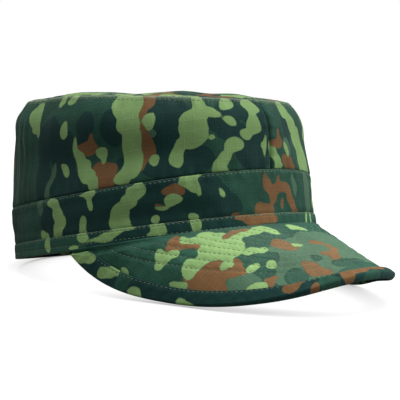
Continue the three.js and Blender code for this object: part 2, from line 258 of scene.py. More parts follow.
# Print: rounded spots, each (along, up, half width, half height[, turn in degrees]) in mm of
# cloth. Spots of one colour that touch run together, and a later colour lies over an earlier.
crown_print = [
    ("dark", [
        (139, 37, 8, 8.5), (130, 27, 10.5, 12), (128, 14, 9, 10), (122, 4, 15, 8), (112, 1.5, 8, 5),
        (146, 29, 6.5, 13), (146, 11, 6.5, 13), (110.5, 35, 6.3, 8.6), (112, 27, 5, 4),
        (94.5, 33, 5.6, 8.8), (91.5, 26, 4.6, 5), (89.5, 12, 2.5, 3), (66, 37, 9, 11), (60, 30, 11, 13),
        (66, 14, 11, 15), (57, 12, 9, 13), (55, 33, 7, 8), (36.5, 27, 4.8, 5.2), (25, 21, 9, 5),
        (27, 31, 8, 7), (19, 34, 4, 5), (45, 7, 8.5, 8), (5, 28, 5.4, 9.5), (12, 11, 12.5, 12),
        (15, 30, 4, 5), (-19, 24, 5, 9),
    ]),
    ("grey", [
        (137, 13, 1.8, 6, 12), (140.5, 2, 2.6, 7), (70, 24.5, 3, 2.6), (178, 30, 1.2, 22),
        (171, 38, 1, 12), (184, 14, 1.4, 14), (-15, 13, 3, 5),
    ]),
    ("brown", [
        (112, 23.5, 4.8, 3.4), (107.5, 22.8, 4.4, 3.5), (106, 27, 1.7, 3.4), (99.3, 8.5, 8, 6.8),
        (97, 2.5, 7.4, 4.2), (103, 4, 4, 4), (73.3, 42.5, 4.6, 4.4), (75.3, 35, 2.8, 5),
        (74.6, 27, 2.4, 5), (72.8, 19, 4.1, 5.7), (73, 14, 3.8, 3.5), (75, 9.5, 1.6, 3.5),
        (-2.5, 14, 3, 2.4), (-7.5, 14, 3.6, 3.4), (-6.5, 18.5, 1.1, 2.8), (-13.5, 4, 5, 3.8),
        (-16.5, 1.5, 5, 2.7), (-11, 5.5, 2.2, 2), (203, 38, 3.5, 6), (201, 28, 2.5, 4),
    ]),
    ("light", [
        (160, 51, 6.5, 6.5), (155.5, 44, 4, 5.5), (153, 39, 2, 3), (126.4, 36, 3.2, 4.7),
        (134.5, 53.2, 3.4, 2.6), (125, 52.6, 3.4, 2.6), (118.3, 25, 1.9, 5.2), (115.4, 18, 2.8, 4.7),
        (112, 13, 4.6, 4.8), (109, 8, 4.4, 4.2), (105.2, 3.2, 3.4, 3.4), (103, 0.5, 2.2, 2.2),
        (101.3, 19.5, 3.6, 3.1), (99.3, 17, 1.6, 2.8), (84.7, 43, 9.2, 8.6), (83, 33, 6.6, 8),
        (82, 22, 6, 8), (81.2, 13, 5.4, 7), (81.7, 7.8, 6.2, 4.6), (87, 3.8, 4.6, 4.2),
        (71.8, 31, 3.1, 4.5), (69.3, 33.5, 1.4, 2.2), (69.2, 10.7, 2.8, 3.1), (127, 14, 2, 4.9, -38),
        (43, 37, 3.8, 6), (46.3, 30.5, 7.2, 5.6), (47, 24, 7.4, 7), (47, 19.3, 6.4, 4.4),
        (50.8, 19, 3.4, 3), (43.6, 19.2, 3, 3), (51, 29.5, 3, 2.6), (44, 29, 3.6, 4), (38, 32.4, 5, 2),
        (34, 31, 3, 1.3), (56.5, 9.7, 3.8, 5.6), (55, 15, 2.8, 4), (53.3, 17.4, 2.4, 2.2),
        (25.5, 35.7, 4.5, 2.8), (11, 35, 4.2, 3.4), (8.5, 32.5, 3.2, 2.6), (12.3, 30, 2, 2.4),
        (12.2, 24.5, 4.2, 5), (9.5, 22.5, 2.7, 3), (16.8, 19, 3.2, 2.6), (26.3, 26.2, 4, 1.9, 28),
        (36.6, 18.6, 1.7, 1.3), (25.7, 13, 5, 3.8), (22.5, 13.5, 2.6, 3), (30.5, 7.5, 4.1, 4),
        (33.2, 3, 4, 4.4), (32.8, 0, 4.3, 2.4), (4.8, 12, 1.2, 5.2), (6.3, 12.5, 1.6, 1.2),
        (0.2, 12.5, 0.9, 3.2), (-2.2, 8.5, 1.8, 3.4), (-4.3, 4.5, 2.4, 3.2), (-5.3, 0.8, 2.8, 2.2),
        (-13.3, 10.8, 1.4, 3.6), (-23, 34, 5.6, 4.6), (-28, 27, 5.8, 6.6), (-34, 18, 8, 8.6),
        (-38, 8, 10, 9.6), (-37, 0, 8, 5), (205, 46, 3.4, 3.6), (202, 22, 2.5, 5),
    ]),
]


# Unseen print: colour, its clusters for each one asked for, and a middling spot's half size
SCATTER = [("dark", 1.5, 6.4), ("grey", 0.7, 5.2), ("brown", 0.8, 3.9), ("light", 1.3, 4.0)]


def scattered_print(seed, along, up, clusters):
    """Seeded spots for the cloth that the picture doesn't show: for each colour, clusters
    whose spots follow one another on a wandering walk inside the given ranges."""
    draw = np.random.default_rng(seed)
    chart = []
    for colour, share, size in SCATTER:
        spots = []
        for _ in range(int(round(clusters * share))):
            a, u = draw.uniform(*along), draw.uniform(*up)
            way = draw.uniform(0, 2 * np.pi)
            for _ in range(draw.integers(3, 8)):
                half = size * draw.uniform(0.55, 1.35)
                spots.append((a, u, half, half * draw.uniform(0.6, 1.25), draw.uniform(-40, 40)))
                way += draw.normal(0, 0.7)
                a, u = a + 1.25 * half * np.cos(way), u + 1.25 * half * np.sin(way)
        chart.append((colour, spots))
    return chart


def of_colour(colour, charts):
    """All the spots of one colour, in the charts' order."""
    return [spot for chart in charts for name, spots in chart if name == colour for spot in spots]


def merged_prints(*charts):
    """Several charts as one: the spots of each colour together."""
    return [(colour, of_colour(colour, charts)) for colour in ("dark", "grey", "brown", "light")]


def with_unseen(chart, unseen):
    """A chart with the unseen spots of each colour added, its colours in their own order."""
    return [(colour, spots + of_colour(colour, [unseen])) for colour, spots in chart]


INK_SPREAD, ROUNDNESS = 0.15, 0.7


def print_fields(chart, along, up):
    """Signed distance in mm to the edge of each colour of the print, + inside it. A spot is
    (1 - distance in its own half axes) times the smaller half axis, spots of a colour are
    joined by a soft maximum, and painting one colour cuts it out of all the others. Teal is
    the base's own colour, so that it only cuts."""
    near = along + 0.5 * np.sin(up / 2.3 + along / 9) + 0.35 * np.sin(along / 1.9 + up / 5 + 1)
    high = up + 0.5 * np.sin(along / 2.6 + 2) + 0.35 * np.sin(up / 1.7 + along / 4)
    fields = {}
    for colour, spots in chart:
        total = np.zeros(np.shape(along))
        for a, u, half_a, half_u, *turned in spots:
            lean = math.radians(turned[0]) if turned else 0
            x = (near - a) * math.cos(lean) + (high - u) * math.sin(lean)
            y = (high - u) * math.cos(lean) - (near - a) * math.sin(lean)
            inside = (1 - np.sqrt((x / half_a) ** 2 + (y / half_u) ** 2)) * min(half_a, half_u)
            total += np.exp(np.clip((inside + INK_SPREAD) / ROUNDNESS, -25, 25))
        field = ROUNDNESS * np.log(total + 1e-11)
        for other in fields:
            fields[other] = np.minimum(fields[other], -field)
        fields[colour] = np.maximum(fields[colour], field) if colour in fields else field
    return fields


def cloth_mesh(name, sections, place, fields, wear, inside, ring):
    """One closed shell of cloth. sections is an array (section, point round it, xyz) in mm;
    faces join each section to the next. An open run is closed at both ends, and of a ring
    the last section is the first one again. place is the cloth's own two coordinates in mm,
    kept in the UV map "cloth". The print, wear and inside are kept for each point."""
    if ring:
        sections = sections[:-1]
        fields = {colour: field[:-1] for colour, field in fields.items()}
        wear, inside = (values[:-1] if np.ndim(values) else values for values in (wear, inside))
    count, loop = sections.shape[:2]
    if place.shape[1] == loop:
        place = np.concatenate([place, place[:, :1]], 1)
    spans = count if ring else count - 1
    first = np.arange(spans)[:, None]
    j = np.arange(loop)[None]
    here, ahead, after = first * loop, ((first + 1) % count) * loop, (j + 1) % loop
    quads = np.stack([here + j, here + after, ahead + after, ahead + j], -1).reshape(-1, 4)
    near, far = place[:-1][:spans], place[1:][:spans]
    corner_place = np.stack([near[:, :loop], near[:, 1:], far[:, 1:], far[:, :loop]], 2).reshape(-1, 2)
    faces = quads.tolist()
    if not ring:
        faces += [list(range(loop))[::-1], list(range((count - 1) * loop, count * loop))]
        corner_place = np.concatenate([corner_place, place[0, :loop][::-1], place[-1, :loop]])
    vertices = sections.reshape(-1, 3)
    a, b, c, d = (vertices[quads[:, k]] for k in range(4))
    volume = (a * np.cross(b, c)).sum() + (a * np.cross(c, d)).sum()
    mesh = stood_mesh(name, vertices, faces, corner_place)
    if volume < 0:
        mesh.flip_normals()
    return dressed(mesh, fields, wear, inside)


def stood_mesh(name, vertices, faces, corner_place):
    """A mesh of points in mm as the cap stands, with its UV map "cloth" and smooth faces."""
    mesh = bpy.data.meshes.new(name)
    mesh.from_pydata(standing(vertices).tolist(), [], faces)
    mesh.uv_layers.new(name="cloth").uv.foreach_set("vector", corner_place.astype(np.float32).ravel())
    mesh.polygons.foreach_set("use_smooth", np.ones(len(mesh.polygons), bool))
    return mesh


def dressed(mesh, fields, wear, inside):
    """Stores the print, wear and inside of each point, and makes the object. A colour that
    the print lacks is stored as far outside its edge."""
    kept = {f"{colour} print": fields.get(colour, -9.0) for colour in ("dark", "grey", "brown", "light")}
    kept |= {"wear": wear, "inside": inside}
    for title, values in kept.items():
        layer = mesh.attributes.new(title, "FLOAT", "POINT")
        values = np.broadcast_to(np.ravel(values), len(mesh.vertices))
        layer.data.foreach_set("value", values.astype(np.float32))
    mesh.validate()
    return put(mesh.name, mesh)


def dye(code):
    """A colour written as six hex digits, as linear light."""
    part = np.array([int(code[i:i + 2], 16) for i in (0, 2, 4)]) / 255
    linear = np.where(part <= 0.04045, part / 12.92, ((part + 0.055) / 1.055) ** 2.4)
    return (*linear.tolist(), 1.0)


def wire(tree, kind, *sources, **settings):
    """Adds a node, makes its settings, and gives its inputs in order a link or a value;
    None leaves an input as it is."""
    node = tree.nodes.new(kind)
    for title, value in settings.items():
        setattr(node, title, value)
    for socket, source in zip([s for s in node.inputs if s.enabled], sources):
        if isinstance(source, bpy.types.NodeSocket):
            tree.links.new(source, socket)
        elif source is not None:
            socket.default_value = source
    return node


def sums(tree, operation, *sources):
    """A Math node's result."""
    return wire(tree, "ShaderNodeMath", *sources, operation=operation).outputs[0]


def blend(tree, share, first, second, way="MIX"):
    """The colour of a Mix node."""
    return wire(tree, "ShaderNodeMix", share, first, second, data_type="RGBA", blend_type=way).outputs[2]


def noise(tree, place, scale, detail, roughness):
    """Noise over the flat cloth."""
    node = wire(tree, "ShaderNodeTexNoise", place, scale, detail, roughness, noise_dimensions="2D")
    return node.outputs[0]


def ramp(tree, value, low, high, smooth=True, top=1.0):
    """0 at low to top at high, held beyond them."""
    way = "SMOOTHSTEP" if smooth else "LINEAR"
    node = wire(tree, "ShaderNodeMapRange", value, low, high, 0.0, top, interpolation_type=way)
    return node.outputs[0]


def bumped(tree, height, strength, distance):
    """Bump of a height, on the material's own surface."""
    relief = wire(tree, "ShaderNodeBump")
    relief.inputs["Strength"].default_value = strength
    relief.inputs["Distance"].default_value = distance
    tree.links.new(height, relief.inputs["Height"])
    tree.links.new(relief.outputs[0], tree.nodes["Principled BSDF"].inputs["Normal"])


def shared_effect(name, takes, gives):
    """An empty shader node group with named inputs and outputs."""
    group = bpy.data.node_groups.new(name, "ShaderNodeTree")
    for title, kind in takes:
        group.interface.new_socket(title, in_out="INPUT", socket_type=kind)
    for title, kind in gives:
        group.interface.new_socket(title, in_out="OUTPUT", socket_type=kind)
    return group, group.nodes.new("NodeGroupInput").outputs, group.nodes.new("NodeGroupOutput").inputs


def camouflage_print():
    """Dyes of the cloth. A colour shows where its signed distance, roughened by fine noise
    as ink creeps along the yarns, is above 0. The base is mid green. Each dye drifts a little
    in depth over some cm, each piece's factor Painted light brightens it as painted light,
    most on the peak, which faces up, and the back of the cloth shows the print faintly."""
    number, colour, vector = "NodeSocketFloat", "NodeSocketColor", "NodeSocketVector"
    group, take, give = shared_effect(
        "camouflage print",
        [("Cloth place", vector), ("Light", number), ("Brown", number), ("Grey", number),
         ("Dark", number), ("Inside", number), ("Fade", number)],
        [("Colour", colour)],
    )
    creep = noise(group, take["Cloth place"], 1.5, 2.0, 0.6)
    creep = sums(group, "MULTIPLY_ADD", creep, 0.7, -0.35)
    drift = noise(group, take["Cloth place"], 0.07, 3.0, 0.6)
    base = blend(group, drift, dye("234739"), dye("2F5A4A"))
    for title, code in (("Dark", "1B3E39"), ("Grey", "4C6D56"), ("Brown", "7E5C3B"), ("Light", "8AAE6E")):
        mask = ramp(group, sums(group, "ADD", take[title], creep), -0.2, 0.2)
        base = blend(group, mask, base, dye(code))
    # Painted light: the dyes are scaled by the piece's factor, which stands in for how much light falls on
    # that piece.
    depth = sums(group, "MULTIPLY", sums(group, "MULTIPLY_ADD", drift, 0.34, 0.83), take["Fade"])
    base = blend(group, 1.0, base, depth, "MULTIPLY")
    faint = sums(group, "MULTIPLY", take["Inside"], 0.55)
    group.links.new(blend(group, faint, base, dye("7F927C")), give["Colour"])
    return group


def ripstop_weave():
    """Plain weave of fine yarns, a thicker yarn every few mm both ways, slubs and loose
    fibres. Height is a product of two sines plus the thick yarns' ridges; the colour is a little paler
    on the raised yarns and the thick yarns as painted highlight, and worn places such as the tops of folds
    show pale flecks."""
    number, colour, vector = "NodeSocketFloat", "NodeSocketColor", "NodeSocketVector"
    group, take, give = shared_effect(
        "ripstop weave",
        [("Cloth place", vector), ("Colour", colour), ("Wear", number), ("Yarn pitch", number),
         ("Thick yarn pitch", number)],
        [("Colour", colour), ("Roughness", number), ("Height", number)],
    )
    split = wire(group, "ShaderNodeSeparateXYZ", take["Cloth place"]).outputs
    turns = sums(group, "DIVIDE", 2 * math.pi, take["Yarn pitch"])
    waves = [sums(group, "SINE", sums(group, "MULTIPLY", split[k], turns)) for k in (0, 1)]
    weave = sums(group, "MULTIPLY", waves[0], waves[1])
    ridges = []
    for k in (0, 1):
        across = sums(group, "PINGPONG", split[k], sums(group, "MULTIPLY", take["Thick yarn pitch"], 0.5))
        ridges.append(ramp(group, across, 0.42, 0.12))
    ridge = sums(group, "MAXIMUM", ridges[0], ridges[1])
    slub = noise(group, take["Cloth place"], 1.9, 3.0, 0.7)
    fuzz = noise(group, take["Cloth place"], 0.55, 2.0, 0.5)
    shade = sums(group, "MULTIPLY_ADD", slub, 0.36, 0.80)
    # Painted highlight: the thick yarns' ridges and the raised halves of the weave are made a little paler.
    shade = sums(group, "MULTIPLY_ADD", ridge, 0.05, shade)
    shade = sums(group, "MULTIPLY_ADD", weave, 0.05, shade)
    tinted = blend(group, 1.0, take["Colour"], shade, "MULTIPLY")
    rubbed = sums(group, "MULTIPLY_ADD", slub, 2.0, -1.0)
    rubbed = sums(group, "ADD", rubbed, sums(group, "MULTIPLY_ADD", take["Wear"], 1.1, -0.55))
    rubbed = ramp(group, rubbed, 0.0, 0.5, smooth=False, top=0.42)
    group.links.new(blend(group, rubbed, tinted, dye("B9C7A6")), give["Colour"])
    group.links.new(sums(group, "MULTIPLY_ADD", fuzz, 0.16, 0.76), give["Roughness"])
    height = sums(group, "MULTIPLY_ADD", weave, 0.035, sums(group, "MULTIPLY", ridge, 0.09))
    height = sums(group, "MULTIPLY_ADD", slub, 0.12, height)
    group.links.new(sums(group, "MULTIPLY_ADD", fuzz, 0.16, height), give["Height"])
    return group


print_group, weave_group = camouflage_print(), ripstop_weave()
YARN_PITCH, THICK_YARN_PITCH = 0.62, 5.8


def printed_cloth(name, gain):
    """Matt printed ripstop: the print, brightened by the piece's gain as painted light, then the weave, on a
    rough surface with a soft sheen.
    """
    material = bpy.data.materials.new(name)
    material.use_nodes = True
    tree = material.node_tree
    surface = tree.nodes["Principled BSDF"]
    place = wire(tree, "ShaderNodeUVMap", uv_map="cloth").outputs[0]
    kept = {t: wire(tree, "ShaderNodeAttribute", attribute_name=t).outputs["Fac"]
            for t in ("light print", "brown print", "grey print", "dark print", "inside", "wear")}
    printed = wire(tree, "ShaderNodeGroup", node_tree=print_group)
    for socket, source in zip(printed.inputs, [place, *list(kept.values())[:5]]):
        tree.links.new(source, socket)
    printed.inputs["Fade"].default_value = gain
    woven = wire(tree, "ShaderNodeGroup", node_tree=weave_group)
    for socket, source in zip(woven.inputs, [place, printed.outputs[0], kept["wear"]]):
        tree.links.new(source, socket)
    woven.inputs["Yarn pitch"].default_value = YARN_PITCH
    woven.inputs["Thick yarn pitch"].default_value = THICK_YARN_PITCH
    bumped(tree, woven.outputs["Height"], 0.7, 0.001)
    tree.links.new(woven.outputs["Colour"], surface.inputs["Base Color"])
    tree.links.new(woven.outputs["Roughness"], surface.inputs["Roughness"])
    surface.inputs["Sheen Weight"].default_value = 0.05
    surface.inputs["Sheen Roughness"].default_value = 0.5
    surface.inputs["Specular IOR Level"].default_value = 0.15
    return material


# The number after each cloth's name brightens its dyes as painted light; the peak, facing up, gets the most.
crown_material = printed_cloth("crown cloth", 1.0)

unseen_right = scattered_print(611, (218, 293), (-4, 72), 12)
unseen_left = scattered_print(612, (-293, -52), (-4, 72), 34)
whole_crown_print = merged_prints(crown_print, unseen_right, unseen_left)

OUTER_ROWS, COLUMNS = 58, 300


def there_and_back(outer, inner):
    """Values of a cloth's outside, then those of its inside the other way, round each section."""
    return np.concatenate([outer, inner[:, ::-1]], 1)


def crown_half(name, side):
    """One half of the wall: outer and inner sheets 1.4 mm apart, closed all round. The
    halves meet at both seams, so that no light comes through."""
    turn = side * np.linspace(0, np.pi, COLUMNS)[:, None]
    share = np.linspace(0, 1, OUTER_ROWS)[None]
    outer = crown_cloth(turn, share)
    inner = outer - facing(crown_shape, turn, share, -1) * CROWN_CLOTH
    up = share * wall_height(turn)
    round_up = there_and_back(up, up)
    round_along = along_of(turn) + 0 * round_up
    fields = print_fields(whole_crown_print, round_along, round_up)
    down = wall_height(turn) - up
    wear = there_and_back(0.95 * bell(down, 0, 1.6) + 0.35 * bell(down, 3.5, 2.0), 0 * up)
    return cloth_mesh(name, there_and_back(outer, inner), np.stack([round_along, round_up], -1), fields,
                      wear, there_and_back(0 * up, 0 * up + 1), False)


for side, name in ((1, "right"), (-1, "left")):
    half = crown_half(f"crown_cloth_{name}", side)
    half.data.materials.append(crown_material)
    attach(half, "root")
    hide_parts(f"crown_side_{name}")

# =============================================================================
# Crown top: one oval panel of the same cloth, sewn all round to the wall's upper
# edge. The seam's turned-in edge stands as a low ridge, and the panel domes a
# little between it.
# =============================================================================

# Height of the dome, inset of the panel's edge, mm of rim for a radian of turn, grid lines
TOP_DOME, TOP_TUCK, RIM_PER_RADIAN, TOP_COLUMNS = 5.0, 0.9, 86, 150

# Where each piece is cut from the printed cloth, so that no weave runs on over a seam
TOP_CUT_AT, BAND_CUT_AT, STRIP_CUT_AT, EDGE_CUT_AT = np.array([7.0, 3.0]), 211.0, 260.0, 40.0

top_waves = long_waves(733, 16, 22, 90, 0.5)


def rim_reach(inset):
    """Half length and half width of the wall's upper oval, less an inset."""
    less = CROWN_LEAN + SHOULDER + inset
    return SEAM_LENGTH / 2 - less, SEAM_WIDTH / 2 - less


def top_cloth(across, ahead):
    """Upper face of the top over a unit disc: the wall's upper oval shrunk towards the
    middle, at the top seam's height plus a dome of 1 - radius to the power 2.4, with long
    waves, a ridge and gathers along the seam, and the rim's sag."""
    out = np.sqrt(across**2 + ahead**2)
    turn = np.arctan2(-across, -ahead)
    half_length, half_width = rim_reach(TOP_TUCK)
    x, y = half_width * across, half_length * ahead
    from_edge = (1 - out) * half_width
    rise = unevenness(top_waves, x, y) * (1 - np.exp(-from_edge / 12))
    rise = rise + 0.3 * bell(from_edge, 4.5, 3.6) - 0.3
    rise = rise + 0.2 * pucker(turn * RIM_PER_RADIAN, 8.9, 1.7, 1.2) * bell(from_edge, 2.5, 3.5)
    rise = rise - 0.5 * np.exp(-from_edge / 0.7)
    rise = rise - rim_sag(turn) * out**4
    height = top_seam_height(turn, out) + TOP_DOME * (1 - np.minimum(out, 1) ** 2.4) + rise
    return points(x, y - CROWN_FORWARD, height)


def rim_spot(along, inset, half_along, half_in):
    """A spot of the print inset mm in from the rim, turned so that it runs along it."""
    turn = float(turn_of(along))
    half_length, half_width = rim_reach(inset)
    lean = math.degrees(math.atan2(math.sin(turn), -math.cos(turn)))
    return -half_width * math.sin(turn), -half_length * math.cos(turn), half_along, half_in, lean


top_print = [
    ("dark", [rim_spot(52, 4, 5, 6), rim_spot(31, 4, 4, 6), rim_spot(3, 4, 6, 6), rim_spot(104, 5, 8, 7)]),
    ("brown", [rim_spot(60.5, 3, 3, 5), rim_spot(20, 3, 8, 5)]),
    ("light", [rim_spot(41, 3, 4, 4), rim_spot(70.5, 3, 3, 4), rim_spot(87, 4, 6, 5), rim_spot(121, 3, 3, 4),
               rim_spot(131, 3, 3, 4), rim_spot(9, 2, 2, 3)]),
]


def panel_mesh(name):
    """The oval as a square grid rounded to a disc, so that it has no pole: across is
    a * sqrt(1 - b*b/2) and ahead is b * sqrt(1 - a*a/2). Two sheets, joined at the rim."""
    n = TOP_COLUMNS
    a, b = np.meshgrid(np.linspace(-1, 1, n), np.linspace(-1, 1, n), indexing="ij")
    across, ahead = a * np.sqrt(1 - b * b / 2), b * np.sqrt(1 - a * a / 2)
    upper = top_cloth(across, ahead).reshape(-1, 3)
    lower = upper - np.array([0, 0, TOP_CLOTH])
    i, j = np.meshgrid(np.arange(n - 1), np.arange(n - 1), indexing="ij")
    corner = (i * n + j).ravel()
    top_faces = np.stack([corner, corner + n, corner + n + 1, corner + 1], 1)
    rim = np.concatenate([
        np.arange(n) * n, (n - 1) * n + np.arange(1, n),
        np.arange(n - 2, -1, -1) * n + n - 1, np.arange(n - 2, 0, -1),
    ])
    after = np.roll(rim, -1)
    rim_faces = np.stack([rim, rim + n * n, after + n * n, after], 1)
    faces = np.concatenate([top_faces, top_faces[:, ::-1] + n * n, rim_faces])
    vertices = np.concatenate([upper, lower])
    flat = (vertices[:, :2] + TOP_CUT_AT)[faces.ravel()]
    mesh = stood_mesh(name, vertices, faces.tolist(), flat)
    unseen_top = scattered_print(88, (-88, 88), (-100, 100), 42)
    fields = print_fields(merged_prints(unseen_top, top_print), vertices[:, 0], vertices[:, 1])
    wear = 0.9 * bell((1 - np.sqrt(across**2 + ahead**2)) * SEAM_WIDTH / 2, 0, 1.6)
    wear, inside = np.stack([wear, 0 * wear]), np.stack([0 * wear, 0 * wear + 1])
    return dressed(mesh, fields, wear, inside)


top = panel_mesh("crown_top_cloth")
top.data.materials.append(crown_material)
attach(top, "root")
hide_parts("crown_top")

# =============================================================================
# Band: one ring of doubled cloth under the crown, topstitched just under its
# upper seam. Its foot is held in the strip below.
# =============================================================================

BAND_CLOTH, STRIP_CLOTH, STRIP_HEIGHT = 2.2, 0.9, 9.0
BAND_HOLLOW, BAND_ROWS, ROUND_COLUMNS = 1.1, 34, 580

band_waves = long_waves(90, 18, 14, 70, 0.3)


def band_up(turn, share):
    """Height on the band above the hem, in mm."""
    return share * (seam_height(turn) - hem_height(turn))


def band_cloth(turn, share):
    """Outside of the band: its shape with long waves, a hollow on the right, gathers under
    the seam and over the strip, a groove at the topstitching, and a rolled upper edge."""
    along, up = along_of(turn), band_up(turn, share)
    down = band_up(turn, 1.0) - up
    rise = unevenness(band_waves, along, up) * (1 - np.exp(-down / 5)) * np.clip((up - 8) / 4, 0, 1)
    rise = rise - BAND_HOLLOW * bell(along, 84, 34) * bell(share, 0.42, 0.2)
    rise = rise + 0.2 * pucker(along, 7.4, 1.5, 0.1) * bell(down, 3, 3)
    rise = rise + 0.16 * pucker(along, 8.8, 1.3, 1.7) * bell(up, 12, 3)
    rise = rise + 0.35 * bell(down, 2.2, 2.2) - 0.28 * bell(down, 1.2, 0.5)
    rise = rise - 0.25 * np.exp(-down / 0.45) + 0.45 * bell(up, 10.4, 2.6) * (up > 9.1)
    return band_shape(turn, share) + facing(band_shape, turn, share, -1) * rise[..., None]


band_print = [
    ("dark", [
        (112, 22, 22, 22), (85, 20, 30, 24), (60, 18, 26, 24), (42, 14, 15, 16), (32, 14, 9, 8),
        (40, 27, 7, 6), (139, 18, 8, 9),
    ]),
    ("grey", [(-17.5, 25, 1.8, 6), (-33, 20, 5, 12), (147, 27, 2.6, 4.4)]),
    ("brown", [
        (59.7, 26, 5.6, 2.8), (56.5, 24.5, 2.8, 2), (67.5, 18.5, 1.6, 0.8), (6.8, 28, 0.9, 2.6),
        (4.5, 24, 2.6, 3.2), (1.5, 21.5, 4.3, 2.8), (-4, 23.5, 4.2, 2.8), (-4.3, 27.3, 1, 2.6),
        (-9, 22.3, 3.4, 2.8), (-11.7, 18, 2.2, 3.6), (-14.3, 13, 2.1, 4), (-17, 9.5, 1.8, 1.8),
        (2, 17.5, 2.8, 2.8), (2.6, 14, 0.9, 2.6), (-5.5, 14, 1.3, 3), (8, 10.5, 6.5, 3.2),
        (12.5, 12.6, 2.2, 2.6), (27.5, 9.8, 2.4, 0.9),
    ]),
    ("light", [
        (134.5, 27.5, 4.4, 3), (131, 22, 4.2, 4), (129.5, 17.5, 3.9, 4), (132.5, 12.5, 3.6, 3.6),
        (133, 9.5, 3, 2), (113.3, 14.5, 2.6, 4.5), (113, 9, 2.7, 3.5), (106.5, 28.5, 3.5, 2),
        (107, 24, 1.7, 3.5), (109, 30.3, 4, 0.8), (80, 27.5, 5.2, 3.6), (77.5, 31.5, 1.8, 2.5),
        (84, 22.5, 4.7, 3.4), (89, 17.5, 5.4, 4.2), (90.5, 12.5, 5.6, 4.6), (90, 9.2, 5.4, 2.4),
        (146.5, 11.5, 2.2, 3), (143.5, 7.5, 2.5, 4), (50.5, 29, 4.3, 3), (48, 26.5, 3, 2.5),
        (51.5, 31.5, 3, 1.5), (46.5, 32.4, 4, 0.8), (46, 23.7, 1, 2.2), (54, 28.5, 1.5, 1),
        (60, 20.8, 4.6, 2.8), (66.5, 17.3, 3, 1), (33.8, 22.2, 1.2, 2.2, -35), (49.5, 11, 2.4, 2.2),
        (70.4, 11, 2.2, 2.4),
    ]),
]
unseen_band = scattered_print(52, (-293, -44), (-2, 36), 22)
unseen_band_behind = scattered_print(53, (212, 293), (-2, 36), 8)
whole_band_print = merged_prints(band_print, unseen_band, unseen_band_behind)

band_material = printed_cloth("band cloth", 1.08)

turn = np.linspace(-np.pi, np.pi, ROUND_COLUMNS + 1)[:, None]
lowest_share = (STRIP_CLOTH + SEAM_GAP) / band_up(turn, 1.0)
share = lowest_share + (1 - lowest_share) * np.linspace(0, 1, BAND_ROWS)[None]
outer = band_cloth(turn, share)
inner = band_shape(turn, share) - facing(band_shape, turn, share, -1) * BAND_CLOTH
up = band_up(turn, share)
round_up = there_and_back(up, up)
round_along = along_of(turn) + 0 * round_up
place = np.stack([round_along, round_up + BAND_CUT_AT], -1)
fields = print_fields(whole_band_print, round_along, round_up)
wear = there_and_back(0.55 * bell(band_up(turn, 1.0) - up, 0, 1.2), 0 * up)
inside = there_and_back(0 * up, 0 * up + 1)
band = cloth_mesh("band_cloth", there_and_back(outer, inner), place, fields, wear, inside, True)
band.data.materials.append(band_material)
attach(band, "root")
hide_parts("band")

# =============================================================================
# Hem strip: a narrow strip of the cloth folded over the band's foot and sewn
# through with two rows. It is what touches the surface behind.
# =============================================================================

# How far the strip leans in by its top, the rounding of its foot, heights of its two rows
STRIP_LEAN, STRIP_ROUND, HEM_ROWS = 0.4, 0.7, (8.1, 3.0)


def level_out(turn):
    """Level direction straight out from the band's oval."""
    return unit(facing(band_shape, turn, 0 * turn, -1) * np.array([1, 1, 0]))


def strip_shape(turn, across, up):
    """A point across mm out from the band's surface, and up mm above the hem."""
    share = up / (seam_height(turn) - hem_height(turn))
    return band_shape(turn, share) + level_out(turn + 0 * up) * (across + 0 * turn)[..., None]


def strip_section():
    """The strip's outline across and up, walked round: down its outside with a soft fold
    at the top, round the foot, up inside, and back through the channel that holds the band."""
    proud, back = SEAM_GAP + STRIP_CLOTH, -BAND_CLOTH - SEAM_GAP - STRIP_CLOTH
    face = [(proud - 0.75, STRIP_HEIGHT), (proud - 0.5, STRIP_HEIGHT - 0.2)]
    face += [(proud - STRIP_LEAN * (up / STRIP_HEIGHT) ** 2, up)
             for up in np.linspace(STRIP_HEIGHT - 0.6, STRIP_ROUND, 15)]
    radius, bend = STRIP_ROUND, np.linspace(0, np.pi / 2, 5)
    foot = [(proud - radius + radius * math.cos(w), radius - radius * math.sin(w)) for w in bend[1:]]
    foot += [(x, 0) for x in np.linspace(proud - 1.5, back + 1.5, 3)]
    foot += [(back + radius - radius * math.sin(w), radius - radius * math.cos(w)) for w in bend]
    behind = [(back, up) for up in np.linspace(2, STRIP_HEIGHT, 7)]
    channel = [(-BAND_CLOTH - SEAM_GAP, up) for up in (STRIP_HEIGHT, 5, STRIP_CLOTH)]
    channel += [(SEAM_GAP, up) for up in (STRIP_CLOTH, 5, STRIP_HEIGHT)]
    return np.array(face + foot + behind + channel)


def strip_folds(turn, up):
    """Gathers of the strip: grooves at its two rows of stitches and puckers between."""
    along = along_of(turn)
    rise = -0.22 * bell(up, HEM_ROWS[0], 0.45) - 0.2 * bell(up, HEM_ROWS[1], 0.5)
    rise = rise + 0.16 * pucker(along, 6.6, 1.4, 0.3) * bell(up, 5.6, 2.6)
    return rise + 0.12 * pucker(along, 17, 1.2, 1.9)


def strip_cloth(turn, up):
    """Outside face of the strip."""
    proud = SEAM_GAP + STRIP_CLOTH - STRIP_LEAN * (up / STRIP_HEIGHT) ** 2
    return strip_shape(turn, proud + strip_folds(turn, up), up)


